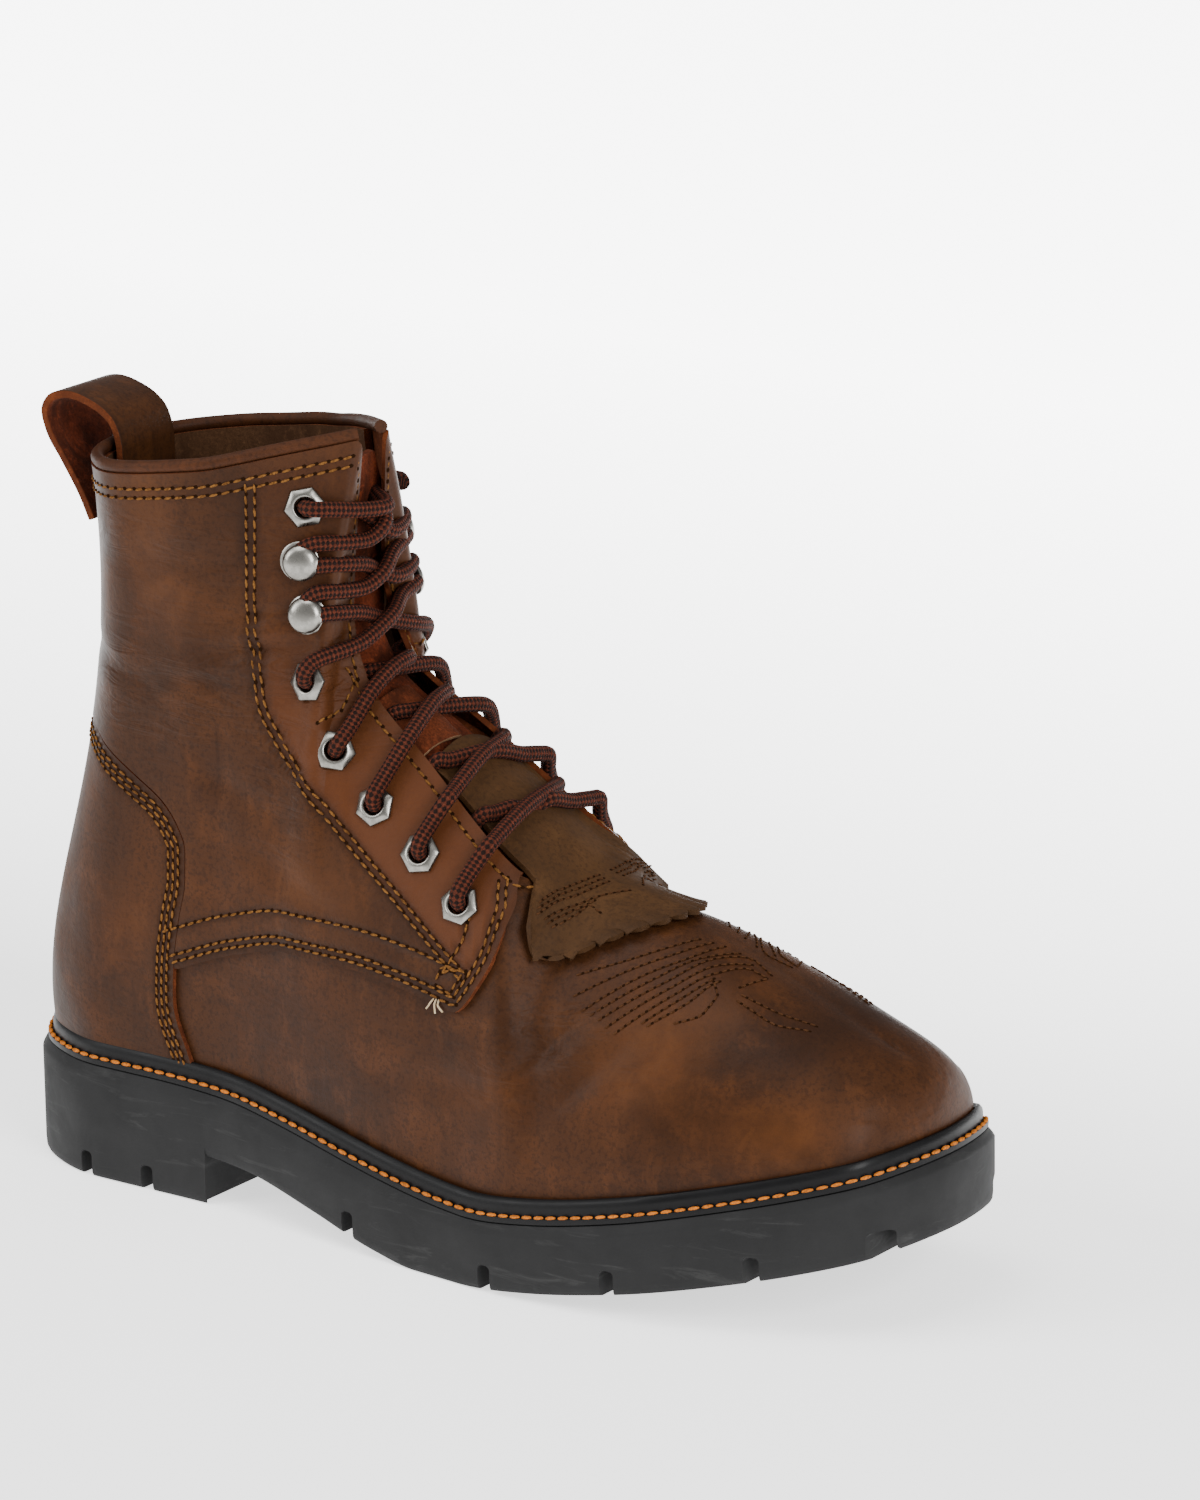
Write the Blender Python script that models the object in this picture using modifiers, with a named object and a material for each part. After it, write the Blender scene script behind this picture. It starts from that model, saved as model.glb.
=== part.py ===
"""Kiltie work boot, the right boot of a pair, empty and standing on its sole.

Tables are in millimetres in the last's own frame: X from the back of the heel to the toe, -Y to the
outer side of the foot, +Y to the inner side, Z up from the floor. Meshes are made in metres, and
the root empty carries them to the middle of the boot's footprint.
"""

import math
from collections import namedtuple

import bmesh
import bpy
from mathutils import Matrix, Vector
from mathutils.bvhtree import BVHTree

# Driving dimensions, in millimetres
MM = 0.001
MESH_TOLERANCE = 0.01
GAP = 0.3
QUARTER_GAP = 0.55
SEAT_GAP = 0.6
SOLE_LENGTH = 310.0
TOE_SPRING = 25.0
SPRING_START = 182.0
SPRING_POWER = 1.4
HEEL_BREAST = 82.0
HEEL_LIFT = 14.5
HEEL_OVERLAP = 5.0
SHOULDER = 1.5
TREAD_BEVEL = 1.0
LUG_GROOVE_WIDTH = 4.0
LUG_GROOVE_DEPTH = 6.0
LUG_GROOVES = (37, 60, 140, 192, 233, 274, 303)
FEATHER_INSET = 6.5
WALL = 2.2
OVERLAY = 1.4
UPPER_ROWS = 10
SLOPE_STEP = 0.5
SLOPE_SHARE = 0.01
MOST_SHELL_FACTOR = 1.5
INSOLE_THICKNESS = 4.0
INSOLE_GAP = 0.8
PIPING_RADIUS = 2.4
TONGUE_THICKNESS = 2.0
TONGUE_DEPTH = WALL + 1.5
TONGUE_START = 0.3
TONGUE_FOLDS = (0, 0, 0.035, 0.07)
TONGUE_FOOT_FOLDS = (0, 0.07, 0.15, 0.25)
TONGUE_BULGE = 0.12
KILTIE_THICKNESS = 1.5
KILTIE_LIFT = 0.7
KILTIE_TEETH = 12
KILTIE_REACH = (5.0, 2.5)
PINK_DEPTH = 1.6
STRAP_WIDTH = 24.0
STRAP_THICKNESS = 2.4
PULL_LOOP_STEPS = 22
BACK_STRIP_WIDTH = 17.0
BACK_STRIP_THICKNESS = 1.2
BACK_STRIP_LOW = 139.0
BACK_STRIP_HIGH = 187.0
EYELET_ACROSS = 10.5
EYELET_HOLE = 5.0
HOLE_PIN = 14.0
EYELET_HEIGHT = 1.8
EYELET_LIP = 1.0
HOOK_SIDES = 10
LACE_DIAMETER = 4.4
LACE_LIFT = 0.6
LACE_FOLD_RISE = 4.5
LACE_START = 3.0
LACE_STOP = 1.5
LACE_POINTS = 8
EDGE_CHOICES = 200
CORE_BACK = 45.0
CORE_DOWN = 25.0

# One row for each section of the last: where it meets the sole's edge, the upper's top edge there,
# and how far its curve leans out and up at the feather line and at the top
Section = namedtuple(
    "Section",
    "name x lateral medial cells top_x top_lateral top_medial top_z low_out low_rise top_out top_drop",
)
SECTIONS = (
    Section("heel_back", 0, 0, 0, 2, 29.5, 0, 0, 210.5, 8.5, 46, -7.5, 93),
    Section("heel_corner", 5, 16, 16, 2, 32, 14, 14, 210.5, 8.5, 46, -8, 91),
    Section("heel_quarter", 16, 29, 29, 2, 39.5, 24.5, 24.5, 211, 8, 46, -9, 88),
    Section("heel_side", 40, 38, 37.5, 3, 54, 33, 32, 212.5, 7, 45, -9, 84),
    Section("breast", 82, 38.5, 35, 3, 80, 33, 32.5, 216.5, 6, 45, -7, 86),
    Section("collar_front", 110, 42.8, 33.2, 1, 119, 6.5, 5, 225, 4, 60, 20, 66),
    Section("ankle", 138, 47, 34.3, 2, 116, 8, 7, 184, 4, 55, 21, 46),
    Section("instep", 160, 49.5, 38, 2, 121.5, 10.5, 10.5, 160, 4, 45, 21, 30),
    Section("waist", 180, 51.5, 42, 2, 150, 15.5, 16.5, 136.5, 4, 37, 19, 21),
    Section("ball", 196, 53, 45, 1, 183, 20.5, 22, 112, 4, 34, 18, 9),
    Section("throat_end", 208, 53, 46.5, 2, 195, -2, 2, 106.5, 4, 34, 26, 0),
    Section("joint", 235, 51, 49, 2, 228, -4, 4, 99, 5, 30, 27, 0),
    Section("toe_side", 265, 43.5, 48, 2, 252, -6, 6, 89.5, 5.5, 27, 24, 0),
    Section("toe_corner", 287, 34.5, 45, 2, 270, -8, 8, 81, 4.5, 22, 19, 0),
    Section("toe_round", 302, 22.5, 39, 2, 281, -9, 9, 75.5, 4, 19, 15, 0),
    Section("toe_tip", 310, -9, 9, 0, 288, -9.5, 9.5, 72, 4, 16, 12, 1),
)
SECTION_NAMES = [row.name for row in SECTIONS]

# Height of the sole's edge over its underside, and height of the underside behind the ball, along X
EDGE_HEIGHT = ((0, 33.9), (60, 33.9), (90, 32.8), (190, 19.7), (290, 21.5), (310, 21.5))
WAIST_RISE = ((HEEL_BREAST, HEEL_LIFT), (100, 13.5), (125, 8.5), (150, 2.2), (165, 0), (SPRING_START, 0))

# Section of the welt: distance in from the sole's edge and height over the sole
WELT_PROFILE = ((1.8, GAP), (1.8, 2.1), (3.7, 2.1), (4.2, 5.2), (5.2, 6.0), (5.6, 5.2), (5.6, GAP))
WELT_TOP = 6.0

# Side view of the counter's front edge: Z and X
COUNTER_EDGE = ((30, 77), (42, 74), (58, 69.5), (69, 70), (83, 72), (95, 74.3), (104, 74.3), (111, 71.3),
                (117, 66), (123, 56), (129.5, 44), (134, 33), (137, 8))
COUNTER_FLOOR = 41.2
COUNTER_STEPS = 14
PANEL_GAP = 0.4

# Side view of the quarter's lower edge from the counter to its tip, then up the front tab: X and Z
QUARTER_EDGE = ((60, 62), (70, 68), (94, 77), (113, 81.5), (136, 82), (156, 80), (167, 78), (175.5, 76.5),
                (183, 85), (187, 95.5), (187.5, 104.5), (184.5, 113))

# Far limits of the forms that cut the panels
BEHIND = -30.0
ASIDE = 90.0
ABOVE = 250.0
PAST_TAB = 215.0
TAB_TOP = 125.0

# Plan of the kiltie: X and half width, from its hidden top to its wings, then the front edge by formula
KILTIE_PLAN = ((150, 10), (168, 12.5), (180, 14.5), (187.5, 15.5), (193, 33))
KILTIE_FRONT = 227.0
KILTIE_ROUND = 31.0
KILTIE_ROUND_POWER = 1.7
KILTIE_FRONT_ROWS = 3

# Side view of the pull loop's middle line, from the outer leg over the top to the inner leg: X and Z
PULL_LOOP = ((25.9, 190), (22.5, 197), (16, 207), (11, 214.5), (9.5, 220), (12.5, 224.5), (19, 226),
             (28, 224), (35, 219), (37, 212), (37.2, 203), (36.6, 194))

# Half section of a lace hook, from the base disc up the neck to the domed cap: radius and height
HOOK_PROFILE = ((0, 0), (5, 0), (5, 0.8), (2.2, 1), (2.2, 3), (4.8, 3.4), (4.2, 5.6), (2.2, 6.8), (0, 7.1))

# Lace rows from the vamp up: kind and side view X and Z
LaceRow = namedtuple("LaceRow", "kind x z")
LACE_ROWS = (
    LaceRow("eyelet", 172, 104.8),
    LaceRow("eyelet", 156, 116),
    LaceRow("eyelet", 138.5, 126.5),
    LaceRow("eyelet", 123, 139.5),
    LaceRow("eyelet", 114.5, 158.5),
    LaceRow("hook", 112, 177),
    LaceRow("hook", 109, 191.8),
    LaceRow("eyelet", 109.5, 207),
)


def slopes(knots, values):
    """Tangents that follow the values with no overshoot between them."""
    steps = [b - a for a, b in zip(knots, knots[1:])]
    rises = [(b - a) / h for a, b, h in zip(values, values[1:], steps)]
    inner = []
    for h0, h1, r0, r1 in zip(steps, steps[1:], rises, rises[1:]):
        if r0 * r1 <= 0:
            inner.append(0.0)
            continue
        w0 = 2 * h1 + h0
        w1 = h1 + 2 * h0
        inner.append((w0 + w1) / (w0 / r0 + w1 / r1))
    return [rises[0]] + inner + [rises[-1]]


def smooth_table(knots, values):
    """A smooth function of one number through a table of knots and values."""
    tangents = slopes(knots, values)

    def at(x):
        x = min(max(x, knots[0]), knots[-1])
        i = 0
        while i < len(knots) - 2 and x > knots[i + 1]:
            i += 1
        h = knots[i + 1] - knots[i]
        s = (x - knots[i]) / h
        bend = h * (s * (1 - s) ** 2 * tangents[i] - s * s * (1 - s) * tangents[i + 1])
        return values[i] * (1 + 2 * s) * (1 - s) ** 2 + values[i + 1] * s * s * (3 - 2 * s) + bend

    return at


def smooth_path(points, count):
    """Points at even steps along a smooth curve through the given ones."""
    knots = [0.0]
    for a, b in zip(points, points[1:]):
        knots.append(knots[-1] + (Vector(b) - Vector(a)).length)
    curves = [smooth_table(knots, values) for values in zip(*points)]
    places = [knots[-1] * k / (count - 1) for k in range(count)]
    return [Vector([curve(place) for curve in curves]) for place in places]


edge_height = smooth_table(*zip(*EDGE_HEIGHT))
waist_rise = smooth_table(*zip(*WAIST_RISE))
counter_edge = smooth_table(*zip(*COUNTER_EDGE))
RIDGE = SECTIONS[SECTION_NAMES.index("throat_end"):]
RIDGE_X = [KILTIE_PLAN[0][0]] + [row.top_x for row in RIDGE]
ridge_y = smooth_table(RIDGE_X, [0] + [row.top_medial for row in RIDGE])


def spring(x):
    """Height of the toe spring at x."""
    reach = max(0.0, (x - SPRING_START) / (SOLE_LENGTH - SPRING_START))
    return TOE_SPRING * reach**SPRING_POWER


def sole_bottom(x):
    return spring(x) if x > SPRING_START else waist_rise(x)


def sole_top(x):
    return spring(x) + edge_height(x)


class Loop:
    """Smooth closed curves through one value for each section, out along the lateral side and back."""

    def __init__(self, sections):
        self.knots = [0.0]
        for a, b in zip(sections, sections[1:]):
            outer = math.hypot(b.x - a.x, b.lateral - a.lateral)
            inner = math.hypot(b.x - a.x, b.medial - a.medial)
            self.knots.append(self.knots[-1] + (outer + inner) / 2)
        self.length = 2 * self.knots[-1]
        self.knots += [self.length - knot for knot in self.knots[-2::-1]]

    def curve(self, values):
        """A function through the values at the knots, which wraps at the back of the heel."""
        knots = [self.knots[-2] - self.length] + self.knots + [self.length + self.knots[1]]
        return smooth_table(knots, [values[-2]] + list(values) + [values[1]])

    def column(self, pick):
        """A curve of one column: pick takes a row and its side, -1 lateral or +1 medial."""
        out = [pick(row, -1) for row in SECTIONS]
        return self.curve(out + [pick(row, 1) for row in SECTIONS[-2::-1]])

    def stations(self):
        """Parameters round the loop, with each section's own number of cells after it."""
        cells = [row.cells for row in SECTIONS[:-1]]
        found = []
        for start, end, count in zip(self.knots, self.knots[1:], cells + cells[::-1]):
            found += [start + (end - start) * k / count for k in range(count)]
        return found


LOOP = Loop(SECTIONS)
STATIONS = LOOP.stations()
outline_x = LOOP.column(lambda row, side: row.x)
outline_y = LOOP.column(lambda row, side: -row.lateral if side < 0 else row.medial)
top_x = LOOP.column(lambda row, side: row.top_x)
top_y = LOOP.column(lambda row, side: -row.top_lateral if side < 0 else row.top_medial)
top_z = LOOP.column(lambda row, side: row.top_z)
low_out = LOOP.column(lambda row, side: row.low_out)
low_rise = LOOP.column(lambda row, side: row.low_rise)
top_out = LOOP.column(lambda row, side: row.top_out)
top_drop = LOOP.column(lambda row, side: row.top_drop)


def station_index(name):
    """Index in STATIONS of a section's own line on the lateral side."""
    return sum(row.cells for row in SECTIONS[: SECTION_NAMES.index(name)])


def opposite(index):
    """Index of the medial station across from a lateral one."""
    return (len(STATIONS) - index) % len(STATIONS)


def outward(t):
    """Unit vector in plan that points away from the sole at t."""
    dx = outline_x(t + SLOPE_STEP) - outline_x(t - SLOPE_STEP)
    dy = outline_y(t + SLOPE_STEP) - outline_y(t - SLOPE_STEP)
    return Vector((dy, -dx, 0)).normalized()


def edge_point(t, inset, height):
    """Point of the sole's outline moved in by inset, at the height that height(x) gives."""
    point = Vector((outline_x(t), outline_y(t), 0)) - outward(t) * inset
    point.z = height(point.x)
    return point


def top_edge(t):
    """Point of the upper's top edge at t. Along the vamp's ridge both sides share it."""
    point = Vector((top_x(t), top_y(t), top_z(t)))
    ridge = LOOP.knots[SECTION_NAMES.index("throat_end")]
    if ridge < t < LOOP.length - ridge:
        across = LOOP.length - t
        point = (point + Vector((top_x(across), top_y(across), top_z(across)))) / 2
    return point


def upper_point(t, v):
    """Outer surface of the upper: t runs round the sole's edge, v from the feather line to the top edge."""
    out = outward(t)
    low = edge_point(t, FEATHER_INSET, lambda x: sole_top(x) + GAP)
    top = top_edge(t)
    low_handle = low + out * low_out(t) + Vector((0, 0, low_rise(t)))
    top_handle = top + out * top_out(t) - Vector((0, 0, top_drop(t)))
    w = 1 - v
    return low * w**3 + low_handle * 3 * w * w * v + top_handle * 3 * w * v * v + top * v**3


def upper_normal(t, v):
    """Outward unit normal of the upper's surface."""
    along = upper_point(t + SLOPE_STEP, v) - upper_point(t - SLOPE_STEP, v)
    up = upper_point(t, v) - upper_point(t, v - SLOPE_SHARE)
    return along.cross(up).normalized()


def inner_point(t, v, depth):
    """Point at a depth under the upper's outer surface, taken from the flat cells of its mesh."""
    row = min(math.floor(v * UPPER_ROWS), UPPER_ROWS - 1)
    low, high = row / UPPER_ROWS, (row + 1) / UPPER_ROWS
    share = (v - low) / (high - low)
    normal = upper_normal(t, low).lerp(upper_normal(t, high), share).normalized()
    return upper_point(t, low).lerp(upper_point(t, high), share) - normal * depth


def make_material(name, colour, roughness, metallic):
    material = bpy.data.materials.new(name)
    material.use_nodes = True
    shader = material.node_tree.nodes["Principled BSDF"]
    shader.inputs["Base Color"].default_value = (*colour, 1)
    shader.inputs["Roughness"].default_value = roughness
    shader.inputs["Metallic"].default_value = metallic
    return material


class Boot:
    """The collections, the root empty and the materials that the pieces share."""

    def __init__(self):
        for obj in list(bpy.data.objects):
            bpy.data.objects.remove(obj)
        self.parts = bpy.data.collections.new("kiltie_work_boot")
        self.cutters = bpy.data.collections.new("cutters")
        self.cutters.hide_render = True
        for collection in (self.parts, self.cutters):
            bpy.context.scene.collection.children.link(collection)
        self.root = bpy.data.objects.new("root", None)
        self.parts.objects.link(self.root)
        self.leather = make_material("oiled_leather", (0.11, 0.048, 0.02), 0.55, 0.0)
        self.trim = make_material("raw_edge_leather", (0.15, 0.052, 0.02), 0.6, 0.0)
        self.grain = make_material("dark_grain_leather", (0.06, 0.036, 0.02), 0.6, 0.0)
        self.suede = make_material("rust_suede", (0.16, 0.035, 0.014), 0.95, 0.0)
        self.rubber = make_material("black_rubber", (0.02, 0.02, 0.021), 0.75, 0.0)
        self.gloss = make_material("welt_rubber", (0.006, 0.006, 0.007), 0.3, 0.0)
        self.nickel = make_material("nickel", (0.62, 0.6, 0.56), 0.28, 1.0)
        self.cord = make_material("brown_cord", (0.06, 0.014, 0.008), 0.85, 0.0)

    def add(self, name, bm, material):
        """An object in metres from a bmesh in millimetres."""
        obj = bpy.data.objects.new(name, mesh_from(name, bm))
        obj.data.materials.append(material)
        obj.data.shade_smooth()
        obj.data.set_sharp_from_angle(angle=math.radians(40))
        obj.parent = self.root
        self.parts.objects.link(obj)
        return obj

    def add_cutter(self, name, bm):
        obj = bpy.data.objects.new(name, mesh_from(name, bm))
        obj.hide_render = True
        obj.display_type = "WIRE"
        obj.parent = self.root
        self.cutters.objects.link(obj)
        return obj


def mesh_from(name, bm):
    bmesh.ops.scale(bm, vec=(MM, MM, MM), verts=bm.verts)
    mesh = bpy.data.meshes.new(name)
    bm.to_mesh(mesh)
    bm.free()
    return mesh


def thicken(obj, thickness, offset):
    """A wall on an open sheet: offset -1 grows it inwards, +1 outwards and 0 both ways."""
    wall = obj.modifiers.new("wall", "SOLIDIFY")
    wall.thickness = thickness * MM
    wall.offset = offset


def cut(obj, cutter, operation, solver="EXACT"):
    boolean = obj.modifiers.new(cutter.name, "BOOLEAN")
    boolean.operation = operation
    boolean.solver = solver
    boolean.object = cutter


def loft(rings, closed):
    """Skin between rings of as many points each. Closed joins the last ring to the first.

    Otherwise both ends are capped, straight across from each lateral point to its medial one.
    """
    bm = bmesh.new()
    rows = [[bm.verts.new(point) for point in ring] for ring in rings]
    count = len(rows[0])
    pairs = list(zip(rows, rows[1:]))
    if closed:
        pairs.append((rows[-1], rows[0]))
    for low, high in pairs:
        for i in range(count):
            j = (i + 1) % count
            bm.faces.new((low[i], low[j], high[j], high[i]))
    if not closed:
        for row in (rows[0], rows[-1]):
            for i in range(count // 2):
                corners = [row[i], row[i + 1], row[(count - i - 1) % count], row[(count - i) % count]]
                bm.faces.new([vert for k, vert in enumerate(corners) if vert not in corners[:k]])
    bmesh.ops.recalc_face_normals(bm, faces=bm.faces)
    return bm


def ring(inset, height):
    """Points round the sole's outline, moved in by inset, at the height that height(x) gives."""
    return [edge_point(t, inset, height) for t in STATIONS]


def sheet(columns, rows, place):
    """An open grid whose point in column i and row j lies at place(i, j)."""
    bm = bmesh.new()
    bmesh.ops.create_grid(bm, x_segments=columns, y_segments=rows, size=0.5)
    for vert in bm.verts:
        i = round((vert.co.x + 0.5) * columns)
        j = round((vert.co.y + 0.5) * rows)
        vert.co = place(i, j)
    return bm


def upper_sheet(lift):
    """The upper's outer surface as one sheet, sewn at back, toe and ridge, and moved out by lift."""
    columns = STATIONS + [LOOP.length]
    bm = sheet(len(STATIONS), UPPER_ROWS, lambda i, j: upper_point(columns[i], j / UPPER_ROWS))
    bmesh.ops.remove_doubles(bm, verts=bm.verts, dist=MESH_TOLERANCE)
    bmesh.ops.recalc_face_normals(bm, faces=bm.faces)
    bmesh.ops.triangulate(bm, faces=bm.faces, quad_method="FIXED")
    bm.normal_update()
    moves = [vert.normal * lift * min(vert.calc_shell_factor(), MOST_SHELL_FACTOR) for vert in bm.verts]
    for vert, move in zip(bm.verts, moves):
        vert.co += move
    return bm


def prism(outline, y_low, y_high):
    """A side view outline of X and Z, drawn out across the boot from y_low to y_high."""
    bm = bmesh.new()
    face = bm.faces.new([bm.verts.new((x, y_low, z)) for x, z in outline])
    grown = bmesh.ops.extrude_face_region(bm, geom=[face])["geom"]
    moved = [item for item in grown if isinstance(item, bmesh.types.BMVert)]
    bmesh.ops.translate(bm, vec=(0, y_high - y_low, 0), verts=moved)
    bmesh.ops.recalc_face_normals(bm, faces=bm.faces)
    return bm


def box(low, high):
    """A closed box between two corners."""
    bm = bmesh.new()
    bmesh.ops.create_cube(bm, size=1)
    size = Vector(high) - Vector(low)
    middle = (Vector(high) + Vector(low)) / 2
    bmesh.ops.scale(bm, vec=size, verts=bm.verts)
    bmesh.ops.translate(bm, vec=middle, verts=bm.verts)
    return bm


def join(pieces):
    """One bmesh from several."""
    whole = bmesh.new()
    for piece in pieces:
        mesh = bpy.data.meshes.new("piece")
        piece.to_mesh(mesh)
        piece.free()
        whole.from_mesh(mesh)
        bpy.data.meshes.remove(mesh)
    return whole


def build_outsole(boot):
    """Rubber unit: the sole slab with its beveled shoulder, the heel block and the lug grooves."""
    slab = loft(
        [
            ring(SHOULDER, sole_bottom),
            ring(0, lambda x: sole_bottom(x) + TREAD_BEVEL),
            ring(0, lambda x: sole_top(x) - 1.5 * SHOULDER),
            ring(SHOULDER, sole_top),
        ],
        closed=False,
    )
    outsole = boot.add("outsole", slab, boot.rubber)
    heights = ((SHOULDER, 0), (0, TREAD_BEVEL), (0, HEEL_LIFT + HEEL_OVERLAP))
    heel = loft([ring(inset, lambda x, up=height: up) for inset, height in heights], closed=False)
    everything = heel.verts[:] + heel.edges[:] + heel.faces[:]
    plane = {"plane_co": (HEEL_BREAST, 0, 0), "plane_no": (1, 0, 0)}
    made = bmesh.ops.bisect_plane(heel, geom=everything, clear_outer=True, **plane)["geom_cut"]
    bmesh.ops.edgeloop_fill(heel, edges=[item for item in made if isinstance(item, bmesh.types.BMEdge)])
    bmesh.ops.recalc_face_normals(heel, faces=heel.faces)
    cut(outsole, boot.add_cutter("heel_block", heel), "UNION")
    half = LUG_GROOVE_WIDTH / 2
    grooves = []
    for x in LUG_GROOVES:
        floor = 0 if x < HEEL_BREAST else sole_bottom(x)
        low = (x - half, -ASIDE, floor - LUG_GROOVE_DEPTH)
        grooves.append(box(low, (x + half, ASIDE, floor + LUG_GROOVE_DEPTH)))
    cut(outsole, boot.add_cutter("lug_grooves", join(grooves)), "DIFFERENCE")


def build_welt(boot):
    """Storm welt: a flange on the sole with a bead that rises against the upper."""
    rings = [ring(inset, lambda x, up=height: sole_top(x) + up) for inset, height in WELT_PROFILE]
    boot.add("welt", loft(rings, closed=True), boot.gloss)


def build_insole(boot):
    inset = FEATHER_INSET + WALL + INSOLE_GAP
    rings = [ring(inset, lambda x, up=up: sole_top(x) + up) for up in (GAP, GAP + INSOLE_THICKNESS)]
    boot.add("insole", loft(rings, closed=False), boot.suede)


def build_upper(boot, holes):
    """The hollow upper, open at collar, throat and underneath, with holes for the eyelets."""
    upper = boot.add("upper", upper_sheet(0), boot.leather)
    thicken(upper, WALL, -1)
    cut(upper, holes, "DIFFERENCE", "MANIFOLD")


def build_overlay(boot, name, cutter, base, thickness):
    """A panel sewn over the upper: a shell of the upper's own shape, kept inside the cutter."""
    panel = boot.add(name, upper_sheet(base), boot.leather)
    thicken(panel, thickness, 1)
    cut(panel, cutter, "INTERSECT", "MANIFOLD")
    return panel


def counter_line(offset):
    """Side view of the counter's front edge from its floor to its top, moved forward and up by offset."""
    top = COUNTER_EDGE[-1][0]
    heights = [COUNTER_FLOOR + (top - COUNTER_FLOOR) * k / COUNTER_STEPS for k in range(COUNTER_STEPS + 1)]
    return [(counter_edge(z) + offset, z + offset) for z in heights]


def build_counter(boot):
    line = counter_line(0)
    outline = [(BEHIND, line[0][1])] + line + [(BEHIND, line[-1][1])]
    form = boot.add_cutter("counter_form", prism(outline, -ASIDE, ASIDE))
    build_overlay(boot, "counter", form, GAP, OVERLAY)


def build_quarters(boot, holes):
    """Quarters: over the vamp below, from the counter's edge up to the collar and out to the front tab."""
    line = counter_line(PANEL_GAP)
    low_edge = [(x, z) for x, z in QUARTER_EDGE if x > QUARTER_EDGE[1][0]]
    outline = low_edge + [(PAST_TAB, TAB_TOP), (PAST_TAB, ABOVE), (BEHIND, ABOVE), (BEHIND, line[-1][1])]
    outline += [(x, z) for x, z in reversed(line) if z > QUARTER_EDGE[1][1]]
    for name, side in (("lateral", -1), ("medial", 1)):
        sides = sorted((side * GAP / 2, side * ASIDE))
        cutter = boot.add_cutter("quarter_form_" + name, prism(outline, *sides))
        panel = build_overlay(boot, "quarter_" + name, cutter, QUARTER_GAP, OVERLAY)
        cut(panel, holes, "DIFFERENCE", "MANIFOLD")


def build_back_strip(boot):
    half = BACK_STRIP_WIDTH / 2
    form = box((BEHIND, -half, BACK_STRIP_LOW), (HEEL_BREAST, half, BACK_STRIP_HIGH))
    base = QUARTER_GAP + OVERLAY + GAP
    build_overlay(boot, "back_strip", boot.add_cutter("back_strip_form", form), base, BACK_STRIP_THICKNESS)


def tube(points, radius, sides_resolution):
    """A closed round tube along points in millimetres, as a bmesh."""
    data = bpy.data.curves.new("tube", "CURVE")
    data.dimensions = "3D"
    data.bevel_depth = radius
    data.bevel_resolution = sides_resolution
    data.use_fill_caps = True
    spline = data.splines.new("POLY")
    spline.points.add(len(points) - 1)
    for place, point in zip(spline.points, points):
        place.co = (*point, 1)
    obj = bpy.data.objects.new("tube", data)
    bpy.context.scene.collection.objects.link(obj)
    graph = bpy.context.evaluated_depsgraph_get()
    mesh = bpy.data.meshes.new_from_object(obj.evaluated_get(graph))
    bpy.data.objects.remove(obj)
    bpy.data.curves.remove(data)
    bm = bmesh.new()
    bm.from_mesh(mesh)
    bpy.data.meshes.remove(mesh)
    bmesh.ops.remove_doubles(bm, verts=bm.verts, dist=MESH_TOLERANCE / 10)
    bmesh.ops.recalc_face_normals(bm, faces=bm.faces)
    return bm


def build_collar_piping(boot):
    """Rolled binding on the top edge, from one front corner round the back to the other."""
    last = station_index("collar_front")
    order = [opposite(k) for k in range(last, 0, -1)] + list(range(last + 1))
    middle = (WALL - GAP - OVERLAY) / 2
    rise = Vector((0, 0, PIPING_RADIUS + GAP))
    points = [inner_point(STATIONS[k], 1, middle) + rise for k in order]
    boot.add("collar_piping", tube(points, PIPING_RADIUS, 1), boot.trim)


def throat_parameter(index, side):
    """Parameter of a throat station on one side. The first is moved down off the collar's corner."""
    here, below = [STATIONS[k] if side < 0 else STATIONS[opposite(k)] for k in (index, index + 1)]
    return here + (below - here) * (TONGUE_START if index == station_index("collar_front") else 0)


def tongue_point(index, column):
    """Point of the tongue's outer face: index along the throat, column -3 lateral fold to +3 medial fold."""
    under_vamp = index == station_index("throat_end")
    folds = TONGUE_FOOT_FOLDS if under_vamp else TONGUE_FOLDS
    if column or under_vamp:
        return inner_point(throat_parameter(index, column), 1 - folds[abs(column)], TONGUE_DEPTH)
    lateral, medial = [throat_parameter(index, side) for side in (-1, 1)]
    left = inner_point(lateral, 1, TONGUE_DEPTH)
    right = inner_point(medial, 1, TONGUE_DEPTH)
    forward = (upper_normal(lateral, 1) + upper_normal(medial, 1)).normalized()
    return (left + right) / 2 + forward * (right - left).length * TONGUE_BULGE


def build_tongue(boot):
    """Suede tongue: folded under both facings, its foot under the vamp and its top inside the collar."""
    first = station_index("collar_front")
    last = station_index("throat_end")
    side_columns = len(TONGUE_FOLDS) - 1
    bm = sheet(2 * side_columns, last - first, lambda i, j: tongue_point(first + j, i - side_columns))
    bmesh.ops.reverse_faces(bm, faces=bm.faces)
    surface = BVHTree.FromBMesh(bm)
    tongue = boot.add("tongue", bm, boot.suede)
    thicken(tongue, TONGUE_THICKNESS, -1)
    return surface


def highest(surfaces, x, y, reach_x, reach_y):
    """The highest that the surfaces come within reach of x and y, seen from above."""
    found = []
    for dx in (-reach_x, 0, reach_x):
        for dy in (-reach_y, 0, reach_y):
            for surface in surfaces:
                hit = surface.ray_cast(Vector((x + dx, y + dy, ABOVE)), Vector((0, 0, -1)))[0]
                if hit:
                    found.append(hit.z)
    return max(found)


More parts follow.
